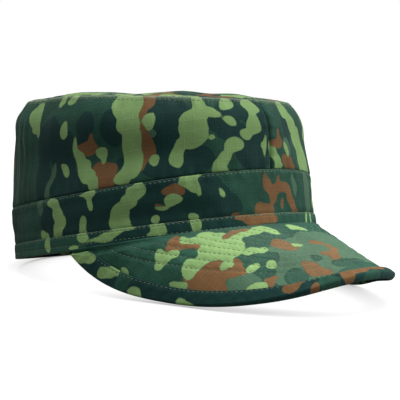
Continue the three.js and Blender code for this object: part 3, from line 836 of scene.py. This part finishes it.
strip_print = [
    ("dark", [(30, 5, 14, 14), (55, 5, 14, 14), (80, 5, 14, 14), (102, 5, 10, 14)]),
    ("brown", [(8, 6.4, 7, 3.4), (17, 5.8, 5, 2.8), (24, 7.6, 3.2, 1.6)]),
    ("light", [
        (114, 6.5, 3.6, 2), (114, 9, 3, 3), (70, 9, 2.6, 1.6), (88, 8.6, 6, 1.1), (94.5, 6.6, 4, 1),
        (99, 5, 3.4, 1.2), (104.5, 3.7, 4.4, 0.7), (49.3, 6.5, 2.3, 4), (70, 6.4, 2.4, 3.2),
        (66.6, 6.4, 2.4, 3.2), (71.5, 3.6, 2.6, 0.8), (121, 1.2, 3, 1.3), (142.5, 6, 2.2, 3.5),
        (141, 2.5, 1.6, 2), (-29.5, 6.5, 1.1, 5, 8), (-36, 6.5, 1.3, 5),
    ]),
]
unseen_strip = scattered_print(77, (-293, -48), (-14, 14), 16)
unseen_strip_behind = scattered_print(78, (222, 293), (-14, 14), 5)
whole_strip_print = merged_prints(strip_print, unseen_strip, unseen_strip_behind)

strip_material = printed_cloth("strip cloth", 1.35)

profile = strip_section()
walked = STRIP_HEIGHT - gone_along(np.vstack([profile, profile[:1]]))
across, up = profile[None, :, 0], profile[None, :, 1]
outside = (across > SEAM_GAP + 0.01) | (up < 0.01)
rise = np.where(outside, strip_folds(turn, up), 0) * np.clip(up / 1.5, 0, 1)
sections = strip_shape(turn, across + rise, up + 0 * turn)
round_along, round_up = np.broadcast_arrays(along_of(turn), walked[None])
place = np.stack([round_along, round_up + STRIP_CUT_AT], -1)
fields = print_fields(whole_strip_print, round_along[:, :-1], round_up[:, :-1])
wear = (0.7 * bell(up, 8.9, 0.8) + 0.8 * bell(up, 0, 0.8)) * (across > 0) + 0 * turn
hem = cloth_mesh("hem_strip_cloth", sections, place, fields, wear, 0.0, True)
hem.data.materials.append(strip_material)
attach(hem, "root")
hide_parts("hem_strip")

# =============================================================================
# Peak: two layers of the cloth over a stiffener, quilted by rows of stitching
# that run side by side with its edge. It arches over the brow, steep at its ends.
# =============================================================================

# Millimetres, degrees of drop and shares; QUILT_ROWS are mm in from the edge
PEAK_JOIN, PEAK_LENGTH, PEAK_HALF_TURN = 0.5, 67.4, math.radians(75)
PEAK_DROP, PEAK_DROP_MORE, PEAK_FAN = 26.7, 27.4, -0.28
PEAK_SQUARE, PEAK_ROUND, PEAK_CLOTH, EDGE_CLEAR = 3.05, 1.91, 2.6, 2.6
PEAK_CORNER, PEAK_LONGER, PEAK_SHORTER = 0.07, 0.03, 0.06
QUILT_ROWS = [14.8, 19.6, 24.0, 28.2, 32.6, 36.9, 41.3, 45.7, 50.1, 54.5]
PEAK_COLUMNS, PEAK_ROWS, ROOT_TUCK, LOWER_CUT_AT = 300, 74, 0.6, 0.4


def peak_shape(u, r):
    """Under face of the peak: straight lines, r mm out from the hem at turn u * 75 degrees.
    They fan inwards, and drop by PEAK_DROP degrees in the middle and more, as u squared,
    towards the ends."""
    turn = u * PEAK_HALF_TURN
    root = strip_shape(turn, STRIP_CLOTH + 2 * SEAM_GAP, PEAK_JOIN + 0 * turn)
    drop, fan = np.radians(PEAK_DROP + PEAK_DROP_MORE * u * u), PEAK_FAN * turn
    line = points(-np.sin(fan) * np.cos(drop), -np.cos(fan) * np.cos(drop), -np.sin(drop))
    return root + line * (r + 0 * u)[..., None]


def peak_normal(u, r):
    """Unit normal of the peak's under face, pointing up through the cloth."""
    return facing(peak_shape, u, r, 1, 1e-3, 0.5)


# The peak laid flat: x along the hem, y out from it. Each straight line stays straight.
u_table = np.linspace(-1, 1, 2001)
root_line = peak_shape(u_table, 0 * u_table)
ruling = peak_shape(u_table, 1 + 0 * u_table) - root_line
root_step = np.gradient(root_line, axis=0)
lengthwise = (root_step * ruling).sum(1)
sideways = np.sqrt(np.maximum((root_step**2).sum(1) - lengthwise**2, 0))
flat_x, flat_y = np.cumsum(sideways), np.cumsum(lengthwise)
flat_x, flat_y = flat_x - flat_x[len(u_table) // 2], flat_y - flat_y[len(u_table) // 2]


def flat_of(u, r):
    """Place on the peak to x and y on its flat cloth."""
    return np.interp(u, u_table, flat_x), np.interp(u, u_table, flat_y) + r


def peak_of(x, y):
    """x and y on the flat cloth to a place on the peak."""
    u = np.interp(x, flat_x, u_table)
    return u, y - np.interp(u, u_table, flat_y)


def peak_at(x, y, lift):
    """A point lift mm above the peak's under face, over a place on its flat cloth."""
    u, r = peak_of(x, y)
    return peak_shape(u, r) + peak_normal(u, r) * (lift + 0 * u)[..., None]


def peak_edge(sweep):
    """Outline: a squared oval in u and r, from one end (0) round to the other (pi). The
    corner on the wearer's left is worn rounder, by up to PEAK_CORNER of its reach. The right
    side runs out PEAK_LONGER further, and its end PEAK_SHORTER less."""
    c, s = np.cos(sweep), np.sin(sweep)
    u = np.sign(c) * np.abs(c) ** (2 / PEAK_SQUARE)
    worn = 1 - PEAK_CORNER * bell(u, -0.54, 0.17) + PEAK_LONGER * bell(u, 0.45, 0.2)
    worn = worn - PEAK_SHORTER * bell(u, 0.86, 0.12)
    return u, PEAK_LENGTH * worn * np.maximum(s, 0) ** (2 / PEAK_ROUND)


def edge_flat(sweep):
    """The outline on the flat cloth."""
    return np.stack(flat_of(*peak_edge(sweep)), -1)


def inwards(flat, ahead):
    """On the flat cloth, the unit direction from the outline towards the middle of the hem's
    side, square to the direction ahead along the outline."""
    square = unit(np.stack([ahead[:, 1], -ahead[:, 0]], -1))
    return square * np.sign(-(flat * square).sum(1, keepdims=True))


def even_sweeps(count):
    """Sweeps at even distances along the outline, from EDGE_CLEAR out from the hem at one
    end to the same place at the other."""
    start = math.asin((EDGE_CLEAR / PEAK_LENGTH) ** (PEAK_ROUND / 2))
    fine = np.linspace(start, np.pi - start, 3001)
    gone = gone_along(peak_shape(*peak_edge(fine)))
    return np.interp(np.linspace(0, gone[-1], count), gone, fine)


outline_sweeps = even_sweeps(901)
outline_flat = edge_flat(outline_sweeps)
outline_run = gone_along(outline_flat)

AT_ONCE = 4000


def from_outline(x, y):
    """Distance in mm from the peak's outline on the flat cloth, and how far along it the
    nearest point of the outline is, worked out for AT_ONCE points at a time."""
    flat = np.stack([np.ravel(x), np.ravel(y)], -1).astype(np.float32)
    line = outline_flat.astype(np.float32)
    nearest, distance = np.zeros(len(flat), int), np.zeros(len(flat))
    for first in range(0, len(flat), AT_ONCE):
        some = flat[first:first + AT_ONCE]
        squares = (some**2).sum(1)[:, None] - 2 * some @ line.T + (line**2).sum(1)[None]
        nearest[first:first + AT_ONCE] = squares.argmin(1)
        distance[first:first + AT_ONCE] = np.sqrt(np.maximum(squares.min(1), 0))
    return distance.reshape(np.shape(x)), outline_run[nearest].reshape(np.shape(x))


peak_waves = long_waves(301, 14, 18, 70, 0.35)


def quilting(x, y):
    """Relief of the quilted face: a groove along each row of stitches, the cloth between
    puffed up and gathered into small waves across the rows, and long waves over all."""
    away, run = from_outline(x, y)
    groove, gather = 0, 0
    for k, row in enumerate(QUILT_ROWS):
        groove = groove + bell(away, row, 0.8)
        pitch = 6.3 + 0.9 * math.sin(k * 2.4)
        wave = np.cos(2 * np.pi * run / pitch + 2.1 * np.sin(run / 19 + k) + k * 1.9)
        gather = gather + wave * bell(away, row + 2.2, 1.5)
    near_edge = bell(away, 11.5, 3.2) * np.cos(2 * np.pi * run / 8.2 + 1.5 * np.sin(run / 23))
    return -0.34 * groove + 0.16 * gather + 0.16 * near_edge + unevenness(peak_waves, x, y)


peak_print = [
    ("grey", [(20, 38, 26, 20), (0, 32, 20, 18), (53, 28, 5, 7), (57, 22, 5, 5), (-20, 30, 18, 20)]),
    ("brown", [
        (59.6, -19, 3, 3), (61.5, -17.5, 2.8, 2.8), (57.5, -20.5, 2.6, 2.6), (58.2, -15.9, 2.6, 2.6),
        (55.8, -13.5, 2.5, 2.5), (53.8, -11, 2.7, 2.7), (52, -8.2, 2.4, 2.4), (56.2, 5.9, 3.5, 3.5),
        (34, -3.5, 3, 1.5), (29, -1.5, 5, 1.8), (66, 3, 5, 6), (61, 9, 5, 7), (66, 9.5, 5, 5),
        (62.5, 14.5, 4.5, 4), (54.5, 7.5, 3, 3.5), (70, 5, 2.5, 4), (53, 18.3, 3.4, 3),
        (50.8, 21.8, 2, 2.6), (57, 13, 4.4, 4), (62, 19.5, 2.2, 2.8), (48.5, 15.5, 2.5, 3.2),
        (22, 18.2, 3.6, 3.4), (21, 20.5, 4, 3.5), (20.3, 23, 4.5, 4), (18.5, 26.5, 4, 3.2),
        (1.5, 27, 3.2, 2.4), (-1.5, 30, 2.6, 1.8), (-3.5, 33.5, 2.6, 2.4), (-3, 37, 3.6, 2.6),
        (8.5, 41, 3, 2.6), (3, 41.5, 4.2, 2.8), (6.5, 45, 3.6, 3), (9, 48.5, 2.4, 2.6),
        (26, 41.5, 2.2, 2.4), (25, 45, 3.4, 3), (26, 48.5, 4.6, 3.8), (26.5, 51, 4.2, 3),
        (23, 53.7, 2.8, 3), (47.6, 37, 2.1, 3), (44.5, 36.8, 2.8, 1.3), (39.5, 47.6, 3, 2.4),
    ]),
    ("light", [
        (67.4, -20.8, 3, 3), (63.1, -14.9, 2.8, 2.8), (67, -17, 3, 3), (71.2, -17.8, 2.2, 2.2),
        (54.6, -17.4, 2, 2.2), (53, -14, 1.6, 2), (50.6, -11.9, 2.4, 2.6), (51.5, 2.5, 3.2, 3.2),
        (46, -8, 6, 6), (42, -3, 6, 6), (36, -0.3, 10, 4), (27, 1.2, 7, 3.2), (20.5, 2.5, 5, 3.2),
        (16, 3.2, 3.6, 3), (13, 5.5, 3.2, 3.2), (12.6, 8.6, 2.8, 2.6), (42, 3, 8, 8), (46, 6.5, 5.5, 6),
        (56, -2.5, 5.5, 5), (61.6, -2.8, 4.6, 4.6), (65.5, -0.6, 2.6, 2.6), (50.3, 13.2, 2.2, 2.4),
        (53, 11.6, 2.6, 2), (38, 14.3, 4, 2.4), (34.8, 16.8, 3.5, 2.3), (32.4, 19, 2.6, 2.6),
        (73.6, -4.8, 0.9, 1.6), (72.2, -2.4, 1.1, 2.4), (71, 0.4, 1.3, 1.8), (55.3, 31.6, 1.9, 2.2),
        (53, 34.2, 1.8, 3), (50.8, 36.8, 1.5, 2.2), (14.3, 26, 2.9, 2.9), (-2.5, 6.5, 3, 3.5),
        (-6.5, 9, 3.5, 3.2), (84.5, -31.5, 1.4, 2.6),
    ]),
    ("teal", [
        (31.5, 9, 4.5, 5), (26.5, 11, 5, 5.2), (28.5, 14, 4.5, 3), (59.3, -11.5, 2, 2),
        (58, -9, 2.2, 2.2), (56.9, -7, 1.8, 1.8), (43.4, 30.6, 4.8, 4.2), (40.5, 23, 6.3, 6.3),
        (34.5, 26.5, 4.8, 4.6), (36.5, 45, 6, 6.5), (17.5, 42, 3.5, 3), (7, 53, 8, 4.5), (5, 7, 4, 4),
    ]),
    ("brown", [(38.7, -3.3, 2, 1.6), (35, -3, 2.6, 1.7), (31, -2, 3, 1.3), (26, -1, 3.5, 0.8)]),
    ("light", [(37.2, 28.7, 2.9, 2.9), (44.6, 24.2, 2.6, 2.4), (47.6, 24.2, 2.2, 1.8)]),
]
unseen_peak = scattered_print(41, (-104, -60), (-66, 62), 8)
whole_peak_print = [unseen_peak[0], *with_unseen(peak_print, unseen_peak)]

peak_material = printed_cloth("peak cloth", 1.52)

sweep = even_sweeps(PEAK_COLUMNS)
edge_u, edge_r = peak_edge(sweep)
u = edge_u[:, None] + np.zeros((1, PEAK_ROWS))
out_share = np.linspace(0, 1, PEAK_ROWS)[None]
r = edge_r[:, None] * out_share - ROOT_TUCK * (1 - out_share)
x, y = flat_of(u, r)
relief = quilting(x, y)
normal = peak_normal(u, r)
away = level_out(u * PEAK_HALF_TURN)
lean = (normal * away).sum(-1, keepdims=True) * np.clip(1 - r / 6, 0, 1)[..., None]
rise = normal - away * lean * (1 - lean**2)
gain = np.clip(r / 3, 0, 1)
upper = peak_shape(u, r) + rise * (PEAK_CLOTH + relief * gain)[..., None]
lower = peak_shape(u, r) - normal * (0.4 * relief * gain)[..., None]
place = there_and_back(np.stack([x, y], -1), np.stack([x, y + LOWER_CUT_AT], -1))
fields = print_fields(whole_peak_print, x, y)
fields = {colour: there_and_back(field, field) for colour, field in fields.items()}
wear = there_and_back(0.22 + 0.3 * bell(x, 22, 36), 0 * x)
peak = cloth_mesh("peak_cloth", there_and_back(upper, lower), place, fields, wear, 0.0, False)
peak.data.materials.append(peak_material)
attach(peak, "root")
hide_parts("peak")

# =============================================================================
# Peak edge strip: a strip of the cloth bound over the peak's edge, folded under
# on both faces and sewn through near its inner fold.
# =============================================================================

# Width in front, extra at the ends, thickness above and below, flattening of the nose
EDGE_WIDTH, EDGE_WIDER, EDGE_CLOTH, EDGE_UNDER, NOSE_BLUNT = 5.2, 4.4, 0.9, 0.65, 0.6
EDGE_COLUMNS = 330


def edge_width(run):
    """Width of the strip: EDGE_WIDTH in front, wider by EDGE_WIDER at both ends, as a bell
    curve of the distance from the end."""
    from_end = np.minimum(run, outline_run[-1] - run)
    return EDGE_WIDTH + EDGE_WIDER * bell(from_end, 0, 42)


def edge_frame(sweep):
    """At sweeps of the outline: the place on the flat cloth and the direction inwards there,
    the strip's width, less where it would reach the hem, and the direction inwards in space."""
    (u, r), flat = peak_edge(sweep), edge_flat(sweep)
    inward = inwards(flat, edge_flat(sweep + 1e-3) - edge_flat(sweep - 1e-3))
    width = edge_width(np.interp(sweep, outline_sweeps, outline_run))
    far_r = peak_of(*(flat + inward * width[:, None]).T)[1]
    clear = EDGE_CLEAR * 0.8
    room = (r - clear) / np.maximum(r - far_r, 1e-6)
    width = width * np.where(far_r < clear, np.maximum(room, 0.08), 1)
    along = unit(peak_shape(*peak_edge(sweep + 1e-3)) - peak_shape(*peak_edge(sweep - 1e-3)))
    return flat, inward, width, np.cross(peak_normal(u, r), along)


def edge_section():
    """The strip's outline as (share of its width in from the edge, mm beyond the edge, lift):
    along the upper leg from its inner fold, round the nose, back along the lower leg, and
    through the channel that holds the peak."""
    high, low = PEAK_CLOTH + SEAM_GAP, -SEAM_GAP
    middle = (high + EDGE_CLOTH + low - EDGE_UNDER) / 2
    nose = high + EDGE_CLOTH - middle
    leg = [(1.0, 0, high + 0.25), (0.985, 0, high + 0.6), (0.95, 0, high + 0.82)]
    leg += [(w, 0, high + EDGE_CLOTH) for w in np.linspace(0.9, 0.02, 13)]
    round_nose = [(0, NOSE_BLUNT * nose * math.cos(w), middle + nose * math.sin(w))
                  for w in np.linspace(np.pi / 2, -np.pi / 2, 9)]
    under = [(w, 0, low - EDGE_UNDER) for w in np.linspace(0.1, 0.95, 7)] + [(1.0, 0, low - 0.3)]
    channel = [(1.0, 0, low), (0.5, 0, low), (0.03, 0, low), (0.03, 0, high), (0.5, 0, high), (1.0, 0, high)]
    return np.array(leg + round_nose + under + channel)


def edge_relief(share, run):
    """Gathers of the strip: a groove at its stitches and puckers over it."""
    groove, body = bell(share * EDGE_WIDTH, 0.87 * EDGE_WIDTH, 0.5), bell(share, 0.45, 0.3)
    return -0.3 * groove + 0.22 * body * np.cos(2 * np.pi * run / 7.4 + 1.7 * np.sin(run / 21))


edge_strip_print = [
    ("dark", [(along, out, 19, 19) for along, out in (
        (97, -48), (86, -12), (80, 5), (70, 20), (60, 34), (49, 46), (36, 56), (20, 62), (2, 66),
        (-16, 65), (-34, 60),
    )]),
    ("brown", [
        (37.8, 47.8, 2.6, 3), (41, 48, 3, 2.6), (44.6, 48.3, 3.2, 3), (37, 57.5, 3, 2), (18.5, 64, 4, 4),
        (13, 62.8, 6, 2.6), (5, 63.4, 6, 2.6), (-4, 63.2, 5, 2.4), (-11, 62, 3, 2.2), (-33, 58, 1.8, 4),
        (92, -66, 3, 4),
    ]),
    ("light", [
        (92.5, -52.5, 3.2, 3.4), (94.5, -57, 4, 4), (97, -61, 3, 3), (91.5, -41, 2.6, 3),
        (88.8, -38, 2.6, 3.2), (86.2, -34.5, 1.8, 3), (87.3, -18.8, 3, 4.5), (75.8, 8.5, 2.4, 5.5),
        (35, 63, 4, 2),
    ]),
    ("teal", [(29, 61, 5, 5), (86, -29, 6, 4), (3, 69.5, 8, 3)]),
]
unseen_edge = scattered_print(43, (-104, -56), (-70, 66), 9)
whole_edge_print = with_unseen(edge_strip_print, unseen_edge)

sweep = even_sweeps(EDGE_COLUMNS)
flat, inward, width, into = edge_frame(sweep)
run = np.interp(sweep, outline_sweeps, outline_run)[:, None]
profile = edge_section()
in_share, beyond_edge, lift = profile.T[:, None]
in_by = in_share * width[:, None]
on_top = lift > PEAK_CLOTH + SEAM_GAP + 0.1
lift = lift + np.where(on_top, edge_relief(in_share, run), 0)
x = flat[:, None, 0] + inward[:, None, 0] * in_by
y = flat[:, None, 1] + inward[:, None, 1] * in_by
sections = peak_at(x, y, lift) - into[:, None] * beyond_edge[..., None]
walked = gone_along(profile * np.array([EDGE_WIDTH, 1, 1]))
place = np.stack(np.broadcast_arrays(run, np.append(walked, walked[-1] + 0.5)[None] + EDGE_CUT_AT), -1)
beyond = np.maximum(walked - EDGE_WIDTH, 0)[None] * 0.5
fields = print_fields(whole_edge_print, x - inward[:, None, 0] * beyond, y - inward[:, None, 1] * beyond)
wear = 0.3 * bell(in_share * EDGE_WIDTH, 0, 1.5) + 0.3 * bell(in_share, 1, 0.06) + 0 * run
edge = cloth_mesh("peak_edge_cloth", sections, place, fields, wear, 0.0, False)
edge.data.materials.append(strip_material)
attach(edge, "root")
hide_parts("peak_edge_strip")

# =============================================================================
# Stitching: two-ply thread in light grey-green, one small arched stitch after
# another, its ends sunk in the cloth. Rows run under the top seam, under the
# band's seam, twice along the hem strip, and over the peak side by side.
# =============================================================================

STITCH_PITCH, STITCH_LENGTH, STITCH_WIDTH, STITCH_RISE = 2.6, 1.95, 0.42, 0.3
STITCH_LIFT, STITCH_SINK, STITCH_SIDES = 0.14, 0.34, 6

# Rows: mm under the top seam, mm under the band's, share of the edge strip's width, and the
# least mm from the hem for the rows on the peak
RIM_ROW, BAND_ROW, EDGE_ROW, HEM_CLEAR = 2.0, 1.3, 0.86, 3.5


def thread():
    """Twisted thread: slanting plies as bump and as painted shade, darker in the grooves between plies and
    paler on their crowns, over a slightly glossy fibre.
    """
    material = bpy.data.materials.new("sewing thread")
    material.use_nodes = True
    tree = material.node_tree
    surface = tree.nodes["Principled BSDF"]
    place = wire(tree, "ShaderNodeUVMap", uv_map="cloth").outputs[0]
    along, round_it = wire(tree, "ShaderNodeSeparateXYZ", place).outputs[:2]
    twist = sums(tree, "MULTIPLY_ADD", along, 11.0, sums(tree, "MULTIPLY", round_it, 6.28))
    twist = sums(tree, "SINE", twist)
    shade = ramp(tree, twist, -1.0, 1.0, smooth=False)
    # Painted shade along the plies: the darker green lies in the grooves, the paler green on the crowns.
    tree.links.new(blend(tree, shade, dye("6F8268"), dye("93A486")), surface.inputs["Base Color"])
    tree.links.new(sums(tree, "MULTIPLY_ADD", shade, 0.12, 0.58), surface.inputs["Roughness"])
    bumped(tree, twist, 0.5, 0.0003)
    return material


thread_material = thread()


def row_of_stitches(line, normals):
    """Frames of the stitches along a line of points in mm: their middles at an even pitch,
    with the line's direction and the surface's normal there."""
    gone = gone_along(line)
    count = max(int(gone[-1] / STITCH_PITCH), 1)
    middles = (np.arange(count) + 0.5) * gone[-1] / count

    def at(values, where):
        return np.stack([np.interp(where, gone, values[:, k]) for k in range(3)], -1)

    ahead = at(line, middles + 0.6) - at(line, middles - 0.6)
    normal = at(normals, middles)
    return np.stack([at(line, middles), ahead, normal], 1)


def stitch_mesh(name, rows):
    """All the stitches of some rows as one mesh. A stitch is six-sided rings whose size runs
    as an ellipse along it, closed by a point at each end, and arched so that its ends sink."""
    middle, ahead, normal = np.moveaxis(np.concatenate(rows), 1, 0)
    ahead = unit(ahead)
    normal = unit(normal - ahead * (normal * ahead).sum(1, keepdims=True))
    beside = np.cross(normal, ahead)
    stations, sides = np.array([-0.86, -0.45, 0.0, 0.45, 0.86]), STITCH_SIDES
    girth = np.sqrt(1 - stations**2) ** 0.7
    spin = np.arange(sides) * 2 * np.pi / sides
    along = np.concatenate([[-1], np.repeat(stations, sides), [1]])
    sway = np.concatenate([[0], np.outer(girth, np.cos(spin)).ravel(), [0]]) * STITCH_WIDTH / 2
    lift = np.concatenate([[0], np.outer(girth, np.sin(spin)).ravel(), [0]]) * STITCH_RISE / 2
    lift = lift + STITCH_LIFT - STITCH_SINK * along**2
    stitch = sum((direction[:, None] * by[None, :, None] for direction, by in (
        (ahead, along * STITCH_LENGTH / 2), (beside, sway), (normal, lift))), middle[:, None])
    rings = np.arange(len(stations) - 1)[:, None] * sides + 1
    k, wrap = np.arange(sides), (np.arange(sides) + 1) % sides
    body = np.stack([rings + k, rings + wrap, rings + sides + wrap, rings + sides + k], -1).reshape(-1, 4)
    last = len(along) - 1
    near_end, far_end = np.stack([0 * k, wrap + 1, k + 1], -1), np.stack([0 * k + sides, k, wrap], -1)
    ends = np.concatenate([near_end, far_end + last - sides])
    base = np.arange(len(middle))[:, None, None] * len(along)
    quads, tips = (body[None] + base).reshape(-1, 4), (ends[None] + base).reshape(-1, 3)
    round_it = np.concatenate([[0], np.tile(k / sides, len(stations)), [0]])
    place = np.tile(np.stack([along * STITCH_LENGTH / 2, round_it], -1), (len(middle), 1))
    order = np.concatenate([quads.ravel(), tips.ravel()])
    mesh = stood_mesh(name, stitch.reshape(-1, 3), quads.tolist() + tips.tolist(), place[order])
    mesh.materials.append(thread_material)
    piece = put(name, mesh)
    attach(piece, "root")


def wall_row(shape, cloth, share_of, first=-np.pi, last=np.pi):
    """A row round the head on a wall whose share is given for each turn."""
    turn = np.linspace(first, last, 1400)
    share = share_of(turn)
    return row_of_stitches(cloth(turn, share), facing(shape, turn, share, -1))


stitch_mesh("rim_stitching", [
    wall_row(crown_shape, crown_cloth, lambda t: 1 - RIM_ROW / wall_height(t), a, b)
    for a, b in ((-3.11, -0.03), (0.03, 3.11))])
stitch_mesh("band_stitching", [
    wall_row(band_shape, band_cloth, lambda t: 1 - BAND_ROW / band_up(t, 1.0))])
stitch_mesh("hem_stitching", [
    wall_row(band_shape, lambda t, s, up=up: strip_cloth(t, up + 0 * t), lambda t: 0.1 + 0 * t)
    for up in HEM_ROWS])


def peak_row(inset, lift):
    """A row side by side with the peak's edge, inset mm in from it on the flat cloth, a number
    or one for each point of the outline. What would lie nearer to the outline elsewhere, or
    too near the hem, is left out."""
    inset = inset + np.zeros(len(outline_flat))
    line = outline_flat + inwards(outline_flat, np.gradient(outline_flat, axis=0)) * inset[:, None]
    away = from_outline(line[:, 0], line[:, 1])[0]
    u, r = peak_of(line[:, 0], line[:, 1])
    keep = (away > inset - 0.25) & (r > HEM_CLEAR) & (np.abs(u) < 0.999)
    x, y = line[keep].T
    return row_of_stitches(peak_at(x, y, lift(x, y)), peak_normal(u[keep], r[keep]))


quilt_rows = [peak_row(inset, lambda x, y: PEAK_CLOTH + quilting(x, y)) for inset in QUILT_ROWS]
stitch_mesh("peak_stitching", quilt_rows)
edge_lift = PEAK_CLOTH + SEAM_GAP + EDGE_CLOTH - 0.3
stitch_mesh("peak_edge_stitching", [
    peak_row(edge_width(outline_run) * EDGE_ROW, lambda x, y: edge_lift + 0 * x)])

# =============================================================================
# Stage: a pale floor, plain soft light from above and in front, and the camera
# at the picture's place, with its lens and no shift.
# =============================================================================

FLOOR_HALF, FLOOR_UNDER = 9, 0.0002

floor_mesh = bpy.data.meshes.new("pale_floor")
corners = [(x * FLOOR_HALF, y * FLOOR_HALF, -FLOOR_UNDER) for x, y in ((-1, -1), (1, -1), (1, 1), (-1, 1))]
floor_mesh.from_pydata(corners, [], [(0, 1, 2, 3)])
floor = put("pale_floor", floor_mesh)
floor_material = bpy.data.materials.new("pale floor")
floor_material.use_nodes = True
tree = floor_material.node_tree
# The floor glows evenly white for the camera alone, and ambient occlusion dims that glow within 22 mm of the
# cap: a painted shadow along its edges. To other rays the floor is dark grey.
seen = wire(tree, "ShaderNodeLightPath").outputs["Is Camera Ray"]
painted_shadow = wire(tree, "ShaderNodeAmbientOcclusion", (1, 1, 1, 1), 0.022, samples=12).outputs["AO"]
painted_shadow = wire(tree, "ShaderNodeMapRange", painted_shadow, 0.15, 0.9, 0.42, 1.0).outputs[0]
surface = tree.nodes["Principled BSDF"].inputs
surface["Base Color"].default_value = (0.2, 0.2, 0.2, 1)
surface["Roughness"].default_value = 0.95
surface["Emission Color"].default_value = (1, 1, 1, 1)
tree.links.new(sums(tree, "MULTIPLY", seen, painted_shadow), surface["Emission Strength"])
surface["Specular IOR Level"].default_value = 0.0
floor_mesh.materials.append(floor_material)

world = bpy.data.worlds.new("studio")
bpy.context.scene.world = world
world.use_nodes = True
tree = world.node_tree
seen = wire(tree, "ShaderNodeLightPath").outputs["Is Camera Ray"]
shade = blend(tree, seen, (0.23, 0.235, 0.24, 1), (1, 1, 1, 1))
tree.links.new(shade, tree.nodes["Background"].inputs["Color"])


def aimed(name, data, right, over, back, eye):
    """An object at eye whose own axes point right, over and back."""
    thing, placed = put(name, data), np.eye(4)
    placed[:3] = np.stack([right, over, back, eye], -1)
    thing.matrix_world = placed.T.tolist()
    return thing


def soft_light(name, towards, power, spread):
    """A wide soft lamp that shines evenly from one direction; spread is in degrees."""
    lamp = bpy.data.lights.new(name, "SUN")
    lamp.energy, lamp.angle = power, math.radians(spread)
    back = unit(np.array(towards, float))
    right = unit(np.cross([0, 0, 1], back))
    aimed(name, lamp, right, np.cross(back, right), back, (0, 0, 0))


soft_light("key", (0.71, -0.64, 0.34), 1.6, 34)
soft_light("top", (-0.03, -0.03, 1.0), 2.1, 44)

# The camera, fitted to points read off the photograph: radians, metres and pixels
AZIMUTH, ELEVATION, ROLL = map(math.radians, (-41.3746, 4.2346, 1.5402))
LOOKED_AT, DISTANCE = np.array([0.000297, -0.002693, 0.047384]), 0.586915
FOCAL_PIXELS, PICTURE_PIXELS, SENSOR = 988.225, 400, 36

level = math.cos(ELEVATION)
back = np.array([math.sin(AZIMUTH) * level, -math.cos(AZIMUTH) * level, math.sin(ELEVATION)])
level_right = np.array([math.cos(AZIMUTH), math.sin(AZIMUTH), 0])
level_up = np.cross(back, level_right)
right = level_right * math.cos(ROLL) + level_up * math.sin(ROLL)
over = level_up * math.cos(ROLL) - level_right * math.sin(ROLL)
lens = bpy.data.cameras.new("view")
lens.sensor_width, lens.lens = SENSOR, FOCAL_PIXELS * SENSOR / PICTURE_PIXELS
lens.clip_start, lens.clip_end = 0.05, 60
bpy.context.scene.camera = aimed("view", lens, right, over, back, LOOKED_AT + back * DISTANCE)
bpy.context.scene.view_settings.view_transform = "Standard"
